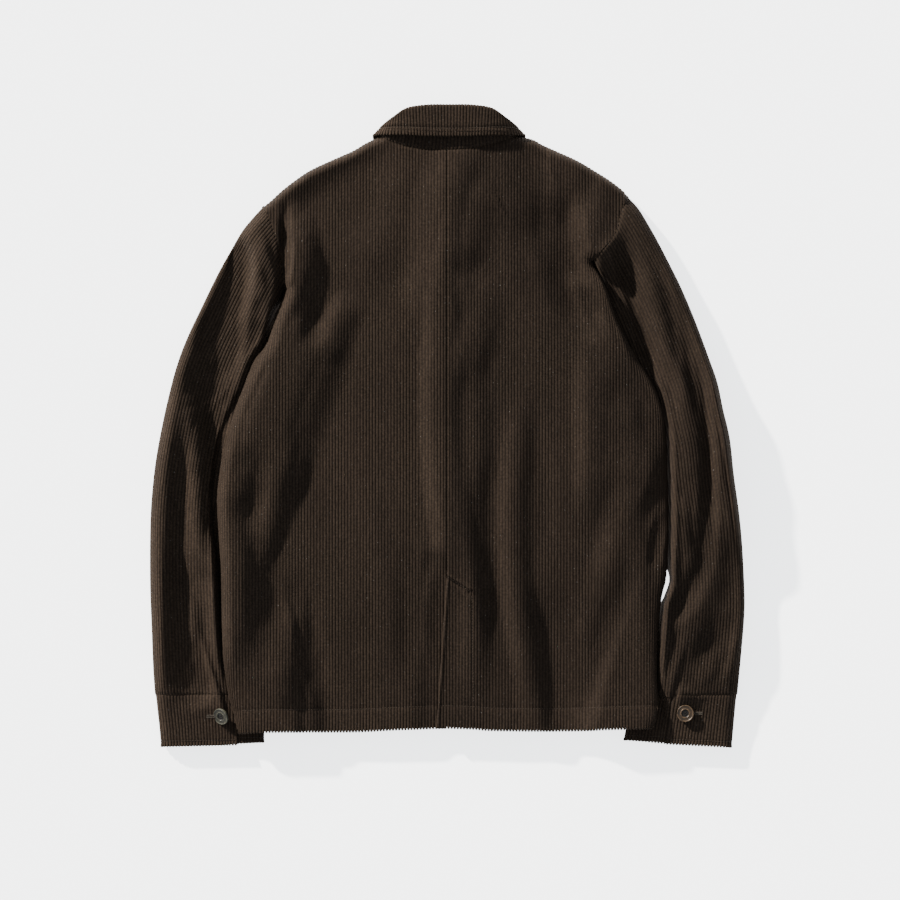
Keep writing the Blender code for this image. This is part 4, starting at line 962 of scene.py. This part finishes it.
def cuffLayout(half, spot):  # q goes round the wrist, 1 for each pass, and v down from the seam
    inner, outer = cutAt(half["inner"], cuff["seam"])[1], cutAt(half["outer"], cuff["seam"])[1]
    width = np.linalg.norm(along(outer, 0.5) - along(inner, 0.5)) - 2.0 * cuff["inset"]
    endShare = (abs(spot[0] - along(inner, 0.5)[0]) - cuff["toEnd"]) / width
    startShare = endShare + cuff["underEnd"] / width

    def place(q, v):
        lowerPasses = np.where(q < 2.0, 2.0 - q, (q - 2.0) * startShare)
        share = np.where(q < 1.0, endShare + q * (1.0 - endShare), lowerPasses)
        wound = np.where(q < 1.0, 0.0, np.where(q < 2.0, 1.0 - smoothStep(share / 0.5), 1.0))
        inset = cuff["inset"] + cuff["layers"] * wound
        down = v * (1.0 - wound * cuff["short"] / cuff["depth"])
        a, b = along(inner, down), along(outer, down)
        run = np.linalg.norm(outer[0] - inner[0]) - 2.0 * cuff["inset"]
        first = np.clip(1.0 - share * run / body["underRoll"], 0.0, 1.0)
        last = np.clip(1.0 - (1.0 - share) * run / body["underRoll"], 0.0, 1.0)
        aside = cuff["inset"] + share * run + (inset - cuff["inset"]) * (first - last)
        plan = a + (aside / (run + 2.0 * cuff["inset"]))[..., None] * (b - a)
        top, under = sleeveFaces(half, plan[..., 0], plan[..., 1], inset)
        z = np.where((q < 1.0) | (q >= 2.0), top, under)
        return np.concatenate([plan, z[..., None]], axis=-1)

    return place


def addCuff(name, half, spot):
    place = cuffLayout(half, spot)
    dense = np.concatenate([np.linspace(k, k + 1, 160, endpoint=False) for k in range(3)] + [[3.0]])
    length = distances(place(dense, np.full(dense.shape, 0.5)))
    columns = columnsUpTo(length[-1])
    edgeRows = 1.0 - np.array(cuff["edgeRows"]) / cuff["depth"]
    rows = np.concatenate([edgeRows, np.linspace(0.8, 0.06, 12), cuff["topRows"]])
    q, v = np.meshgrid(np.interp(columns, length, dense), rows)
    base = place(q, v)
    gap = (1.0 - v) * cuff["depth"]
    fromSeam = cuff["depth"] - gap
    normal = gridNormals(base, half["sign"])
    height = sewn("cuffEdge", gap - cuff["stitch"]) + sewn("cuffSeam", fromSeam)
    base = base + (height + sewn("cuffPuff", fromSeam - 3.5))[..., None] * normal
    cloth = np.broadcast_to(columns, base.shape[:2])
    base, normal, cloth, run, _ = turnRows(base, normal, cloth, gap[:, 0], 1.0, cuff["hem"])
    index = np.arange(cloth.size).reshape(cloth.shape)
    finish, flip = cloths.get(name, corduroy), half["sign"] > 0
    piece = addSheet(name, base, normal, cloth, run, index, finish, flip, 2.0, -0.5 * math.pi)
    return piece, place


cuffLeft, leftPlace = addCuff("cuffLeft", leftHalf, cuff["left"])
cuffRight, rightPlace = addCuff("cuffRight", rightHalf, cuff["right"])
print("cuffs made", len(cuffLeft.data.polygons))

# what each sheet was cut to, in metres, with its hems
laid = (
    (backLeft, "back_left", (0.32, 0.725), 0.2, [frontLeft, sleeveLeft]),
    (backRight, "back_right", (0.293, 0.725), 0.19, [frontRight, sleeveRight]),
    (frontLeft, "front_left", (0.308, 0.66), 0.188, ["floor"]),
    (frontRight, "front_right", (0.297, 0.66), 0.183, [frontLeft]),
    (sleeveLeft, "sleeve_left", (0.36, 0.622), 0.195, ["floor"]),
    (sleeveRight, "sleeve_right", (0.29, 0.631), 0.138, ["floor"]),
    (cuffLeft, "cuff_left", (0.308, 0.077), None, ["floor"]),
    (cuffRight, "cuff_right", (0.308, 0.077), None, ["floor"]),
    (collarFall, "collar_fall", (0.462, 0.066), 0.0301, [collarStand]),
    (collarStand, "collar_stand", (0.201, 0.066), 0.0125, [backLeft, backRight]),
    (collarStandLeft, "collar_stand_left", (0.112, 0.038), None, [collarFall]),
    (collarStandRight, "collar_stand_right", (0.112, 0.038), None, [collarFall]),
)
for piece, node, flat, area, under in laid:
    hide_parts(node)
    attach(piece, "root")

# sewing: each stitch is a small capsule of thread
sewing = {
    "pitch": 3.3, "length": 2.5, "radius": 0.33, "lift": 0.05, "neckGap": 2.6,
    "holeLength": 1.9, "holePitch": 0.8, "holeRadius": 0.26, "holeSides": (-1.05, 1.05), "holeLift": 0.1,
}


def makeThread(name, colour):
    finish = Finish(name, 0.75)
    place = finish.add("ShaderNodeTexCoord", {}, {}, 3)
    sockets = {"Vector": place, "Scale": 900.0, "Distortion": 2.0, "Detail": 2.0}
    twist = finish.add("ShaderNodeTexWave", {}, sockets, 1)
    dark = [0.6 * part for part in colour[:3]] + [1.0]
    finish.give({
        "Base Color": finish.blend(twist, dark, colour),
        "Roughness": finish.spread(twist, 0.0, 1.0, 0.85, 0.6),
        "Normal": finish.bump(twist, 0.4, 0.0001),
        "Specular IOR Level": 0.2,
    })
    return finish.material


thread = makeThread("thread", (0.034, 0.0235, 0.016, 1.0))
darkThread = makeThread("darkThread", (0.009, 0.007, 0.0055, 1.0))
paleThread = makeThread("paleThread", (0.06, 0.049, 0.038, 1.0))


def addStitches(name, centres, directions, length, radius, material):
    stations = np.array([-1.0, -0.86, -0.5, 0.5, 0.86, 1.0]) * 0.5 * length
    sizes = np.array([0.02, 0.66, 1.0, 1.0, 0.66, 0.02]) * radius
    directions = unit(directions)
    centres = np.maximum(centres, [-1000.0, -1000.0, radius])
    side = unit(np.cross(directions, [0.0, 0.0, 1.0]))
    lift = np.cross(side, directions)
    angles = np.linspace(0.0, 2.0 * math.pi, 6, endpoint=False)[:, None, None]
    ring = np.cos(angles) * side + np.sin(angles) * lift
    stations, sizes = stations[:, None, None, None], sizes[:, None, None, None]
    points = (centres + stations * directions + sizes * ring).transpose(2, 0, 1, 3)  # stitch, station, side
    index = np.arange(points[..., 0].size).reshape(points.shape[:3])
    following = np.roll(index, -1, axis=2)
    quads = np.stack([index[:, :-1], following[:, :-1], following[:, 1:], index[:, 1:]], axis=-1)
    points[..., 2] = np.maximum(points[..., 2], lowest)
    mesh = bpy.data.meshes.new(name)
    points = (points.reshape(-1, 3) - middle) * mm
    mesh.from_pydata(points.tolist(), [], quads.reshape(-1, 4).tolist())
    mesh.materials.append(material)
    mesh.shade_smooth()
    piece = bpy.data.objects.new(name, mesh)
    bpy.context.scene.collection.objects.link(piece)
    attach(piece, "root")


def stitchLine(name, line):
    count = int(lengthOf(line) / sewing["pitch"])
    shares = (np.arange(count) + 0.5) / count
    step = 0.3 / count
    directions = along(line, shares + step) - along(line, shares - step)
    addStitches(name, along(line, shares), directions, sewing["length"], sewing["radius"], thread)


def onBack(half, xs, ys):
    z = backHeight(half, xs, ys) + backSewing(half, xs, ys)
    return np.stack([xs, ys, z + sewing["lift"]], axis=1)


def alongHem(half, start, end):
    xs = np.linspace(start, end, 160)
    return onBack(half, xs, lineAt(half["hem"], xs) + panel["stitchLine"])


stitchLine("hemStitchesLeft", alongHem(leftHalf, -246.0, -16.0))
stitchLine("hemStitchesRight", alongHem(rightHalf, -9.0, 245.0))
(startX, startY), (cornerX, cornerY), (footX, footY) = vent["sewing"]
ventXs = np.linspace(0.5, cornerX, 30)
ventYs = np.interp(ventXs, [startX, cornerX], [startY, cornerY]) - vent["stitchDrop"]
stitchLine("ventStitches", onBack(rightHalf, ventXs, ventYs))
facingYs = np.linspace(-200.0, footY + 2.0, 90)
facingXs = np.interp(facingYs, [footY, cornerY], [footX, cornerX])
stitchLine("facingStitches", onBack(rightHalf, facingXs, facingYs))
for half, name in ((leftHalf, "neckStitchesLeft"), (rightHalf, "neckStitchesRight")):
    neck = half["backNeck"][half["sign"] * half["backNeck"][:, 0] >= 0.0]
    neck = beside(neck, -half["sign"] * sewing["neckGap"])
    stitchLine(name, onBack(half, neck[:, 0], neck[:, 1]))
stitchLine("collarStitches", collarStitchLine()[3:-3])
for place, name in ((leftPlace, "cuffStitchesLeft"), (rightPlace, "cuffStitchesRight")):
    q = np.linspace(0.02, 2.98, 400)
    v = np.full(q.shape, 1.0 - cuff["stitch"] / cuff["depth"])
    stitchLine(name, place(q, v) + [0.0, 0.0, sewing["lift"]])


def addButtonhole(name, half, spot, end):  # two close rows of bars along a slit under the button
    xs = spot[0] + half["sign"] * np.arange(2.0, end, sewing["holePitch"])
    rows = []
    for side in sewing["holeSides"]:
        ys = np.full(xs.shape, spot[1] + side)
        top = sleeveFaces(half, xs, ys, cuff["inset"])[0]
        rows.append(np.stack([xs, ys, top + sewing["holeLift"]], axis=1))
    spots = np.concatenate(rows)
    across = np.tile([0.08, 1.0, 0.0], (len(spots), 1))
    addStitches(name, spots, across, sewing["holeLength"], sewing["holeRadius"], paleThread)


addButtonhole("buttonholeLeft", leftHalf, cuff["left"], 18.0)
addButtonhole("buttonholeRight", rightHalf, cuff["right"], 21.0)
print("sewn")

# buttons: turned horn with a raised rim, a dish and four holes
button = {
    "radius": 10.1, "depth": 3.0, "well": 1.5, "bevel": 0.5, "bevelSteps": 4, "hole": 0.8, "holeAt": 1.75,
    "holeTurn": 0.25 * math.pi + 0.3, "bar": 0.34, "barLength": 3.6, "barGap": 0.35, "sharp": 34.0,
    "footRadius": 8.4, "sunk": 1.5, "tiltRise": 5.5,
    # the middle, painted dark as shade in the well, and the painted shade in the groove inside the rim, by
    # distance from the centre
    "middle": (0.0042, 0.0049), "grooveIn": (0.0058, 0.0066), "grooveOut": (0.0084, 0.0094), "groove": 0.65,
    # inset and rise of each ring of the face, from the rim to the well
    "rings": ((0.9, 0.0), (0.6, -0.55), (2.5, -0.1), (0.6, 0.4), (0.7, 0.0), (0.5, -1.25)),
}


def makeHorn(name, centre, light, dark, dish):
    finish = Finish(name, 0.36)
    place = finish.add("ShaderNodeTexCoord", {}, {}, 3)
    offset = finish.add("ShaderNodeVectorMath", {"operation": "SUBTRACT"}, {0: place, 1: centre})
    distance = finish.add("ShaderNodeVectorMath", {"operation": "LENGTH"}, {0: offset}, 1)
    cloud = finish.noise(place, 260.0, 4.0, 0.6)
    grain = finish.noise(finish.stretch(place, (1.0, 4.0, 1.0)), 900.0, 3.0, 0.6)
    shade = finish.spread(cloud, 0.35, 0.65, 0.0, 1.0) * 0.7 + grain * 0.3
    # painted shade: the middle takes the dish colour, and the groove inside the rim is blended toward it
    outside = finish.spread(distance, *button["middle"], 0.0, 1.0)
    groove = finish.spread(distance, *button["grooveIn"], 0.0, button["groove"])
    groove = groove * finish.spread(distance, *button["grooveOut"], 1.0, 0.0)
    turned = finish.blend(groove, finish.blend(shade, dark, light), dish)
    finish.give({
        "Base Color": finish.blend(outside, dish, turned),
        "Roughness": finish.spread(grain, 0.3, 0.7, 0.28, 0.48),
        "Normal": finish.bump(grain, 0.25, 0.0001),
        "Specular IOR Level": 0.2,
    })
    return finish.material


def selectTop():  # the highest face across the middle
    mesh = bmesh.from_edit_mesh(bpy.context.object.data)
    highest = None
    for face in mesh.faces:
        face.select_set(False)
        centre = face.calc_center_median()
        if face.normal.z > 0.9 and centre.xy.length < 1e-5:
            if highest is None or centre.z > highest.calc_center_median().z:
                highest = face
    highest.select_set(True)
    mesh.select_flush(True)
    bmesh.update_edit_mesh(bpy.context.object.data)


def addButton(name, node, spot, tilt, material):
    bpy.ops.object.select_all(action="DESELECT")
    bpy.ops.mesh.primitive_cylinder_add(vertices=72, radius=button["radius"] * mm, depth=button["depth"] * mm)
    piece = bpy.context.object
    piece.name = name
    bpy.ops.object.mode_set(mode="EDIT")
    bpy.ops.mesh.select_mode(type="FACE")
    for inset, rise in button["rings"]:
        selectTop()
        bpy.ops.mesh.inset(thickness=inset * mm)
        bpy.ops.transform.translate(value=(0.0, 0.0, rise * mm))
    bpy.ops.mesh.select_mode(type="EDGE")
    mesh = bmesh.from_edit_mesh(piece.data)
    for edge in mesh.edges:  # the rings
        first, second = (corner.co for corner in edge.verts)
        level = abs(first.z - second.z) < 1e-6
        edge.select_set(level and abs(first.xy.length - second.xy.length) < 1e-6)
    bmesh.update_edit_mesh(piece.data)
    bpy.ops.mesh.bevel(offset=button["bevel"] * mm, segments=button["bevelSteps"], affect="EDGES")
    bpy.ops.object.mode_set(mode="OBJECT")
    holes = []
    for k in range(4):
        turn = Matrix.Rotation(button["holeTurn"] + 0.5 * math.pi * k, 3, "Z")
        holes.append(turn @ Vector((button["holeAt"], 0.0, 0.0)))
    drills = []
    for hole in holes:
        bpy.ops.object.select_all(action="DESELECT")
        size = {"radius": button["hole"] * mm, "depth": 4.0 * button["depth"] * mm}
        bpy.ops.mesh.primitive_cylinder_add(vertices=24, location=hole * mm, **size)
        drills.append(bpy.context.object)
    for drill in drills:
        cut = piece.modifiers.new("hole", "BOOLEAN")
        cut.object, cut.operation, cut.solver = drill, "DIFFERENCE", "EXACT"
        with bpy.context.temp_override(object=piece, active_object=piece, selected_objects=[piece]):
            bpy.ops.object.modifier_apply(modifier=cut.name)
        bpy.data.objects.remove(drill)
    tilted = Matrix.Rotation(math.radians(tilt[0]), 4, Vector(tilt[1:]))
    piece.data.transform(Matrix.Translation((Vector(spot) - Vector(middle)) * mm) @ tilted)
    piece.data.shade_smooth()
    piece.data.set_sharp_from_angle(angle=math.radians(button["sharp"]))
    piece.data.materials.clear()
    piece.data.materials.append(material)
    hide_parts(node)
    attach(piece, "root")
    well = Vector((0.0, 0.0, 0.5 * button["depth"] - button["well"] + 0.2))
    centres, directions = [], []
    for a, b in ((holes[0], holes[1]), (holes[3], holes[2])):  # two bars of thread beside each other
        for shift in (-button["barGap"], button["barGap"]):
            offset = (a + b).normalized() * shift
            centres.append(Vector(spot) + tilted @ (0.5 * (a + b) + offset + well))
            directions.append(tilted @ (b - a))
    sizes = (button["barLength"], button["bar"])
    addStitches(name + "Thread", np.array(centres), np.array(directions), *sizes, darkThread)


# each horn's light and dark colour, and the colours of the dish; the cuff buttons' dark dish colour is
# painted shade in the well
hornBrown = ((0.085, 0.052, 0.027, 1.0), (0.016, 0.0115, 0.008, 1.0))
hornAsh = ((0.062, 0.059, 0.042, 1.0), (0.012, 0.012, 0.0105, 1.0))
dishDark, dishBrown = (0.006, 0.0047, 0.0038, 1.0), (0.02, 0.015, 0.011, 1.0)
# the tilt is an angle and the axis that it turns about
for name, node, half, spot, tilt, colours in (
    ("cuffButtonLeft", "cuff_button_left", leftHalf, cuff["left"], (41.0, 0.52, -0.855, 0.0), hornAsh),
    ("cuffButtonRight", "cuff_button_right", rightHalf, cuff["right"], (4.0, 0.3, -1.0, 0.0), hornBrown),
):
    around = np.linspace(0.0, 2.0 * math.pi, 24)
    xs = spot[0] + button["footRadius"] * np.cos(around)
    ys = spot[1] + button["footRadius"] * np.sin(around)
    foot = sleeveFaces(half, xs, ys, cuff["inset"])[0].max() - button["sunk"]
    lift = foot + 0.5 * button["depth"] + button["tiltRise"] * math.sin(math.radians(tilt[0]))
    centre = tuple((np.array([*spot, lift]) - middle) * mm)
    horn = makeHorn(name + "Horn", centre, *colours, dishDark)
    addButton(name, node, (*spot, lift), tilt, horn)
for number in range(1, 6):
    node = "front_button_%d" % number
    low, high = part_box(node)
    centre = tuple(0.5 * (a + b) for a, b in zip(low, high))
    horn = makeHorn("frontHorn%d" % number, centre, *hornBrown, dishBrown)
    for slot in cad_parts[node].material_slots:
        slot.material = horn
print("buttons made")

# floor, light and camera
def makeFloor():
    finish = Finish("floor", 0.9)
    finish.give({
        "Base Color": (0.88, 0.88, 0.88, 1.0), "Specular IOR Level": 0.0,
        "Emission Color": (0.97, 0.985, 1.0, 1.0), "Emission Strength": 2.8,
    })
    bpy.ops.mesh.primitive_plane_add(size=8.0, location=(0.0, 0.0, 0.0))
    floor = bpy.context.object
    floor.name = "floor"
    floor.data.materials.append(finish.material)


makeFloor()
scene = bpy.context.scene
light = {
    "from": (-0.72, 0.7), "rise": 20.0, "strength": 16.0, "width": 2.5, "colour": (1.0, 0.965, 0.9),
    "fill": 1.0, "sky": (0.86, 0.93, 1.0, 1.0),
}
view = {"place": (0.0034, -0.0293, 9.02), "sensor": 36.0, "lens": 300.0}

sun = bpy.data.lights.new("key", "SUN")
sun.color = light["colour"]
sun.energy = light["strength"]
sun.angle = math.radians(light["width"])
lamp = bpy.data.objects.new("key", sun)
scene.collection.objects.link(lamp)
rise = math.radians(light["rise"])
flat = Vector(light["from"]).normalized() * math.cos(rise)
lamp.rotation_euler = Vector((flat.x, flat.y, math.sin(rise))).to_track_quat("Z", "Y").to_euler()

world = bpy.data.worlds.new("studio")
scene.world = world
world.use_nodes = True
sky = world.node_tree.nodes["Background"]
sky.inputs["Color"].default_value = light["sky"]
sky.inputs["Strength"].default_value = light["fill"]

cameraData = bpy.data.cameras.new("above")
cameraData.sensor_width = view["sensor"]
cameraData.lens = view["lens"]
camera = bpy.data.objects.new("above", cameraData)
camera.location = view["place"]
scene.collection.objects.link(camera)
scene.camera = camera
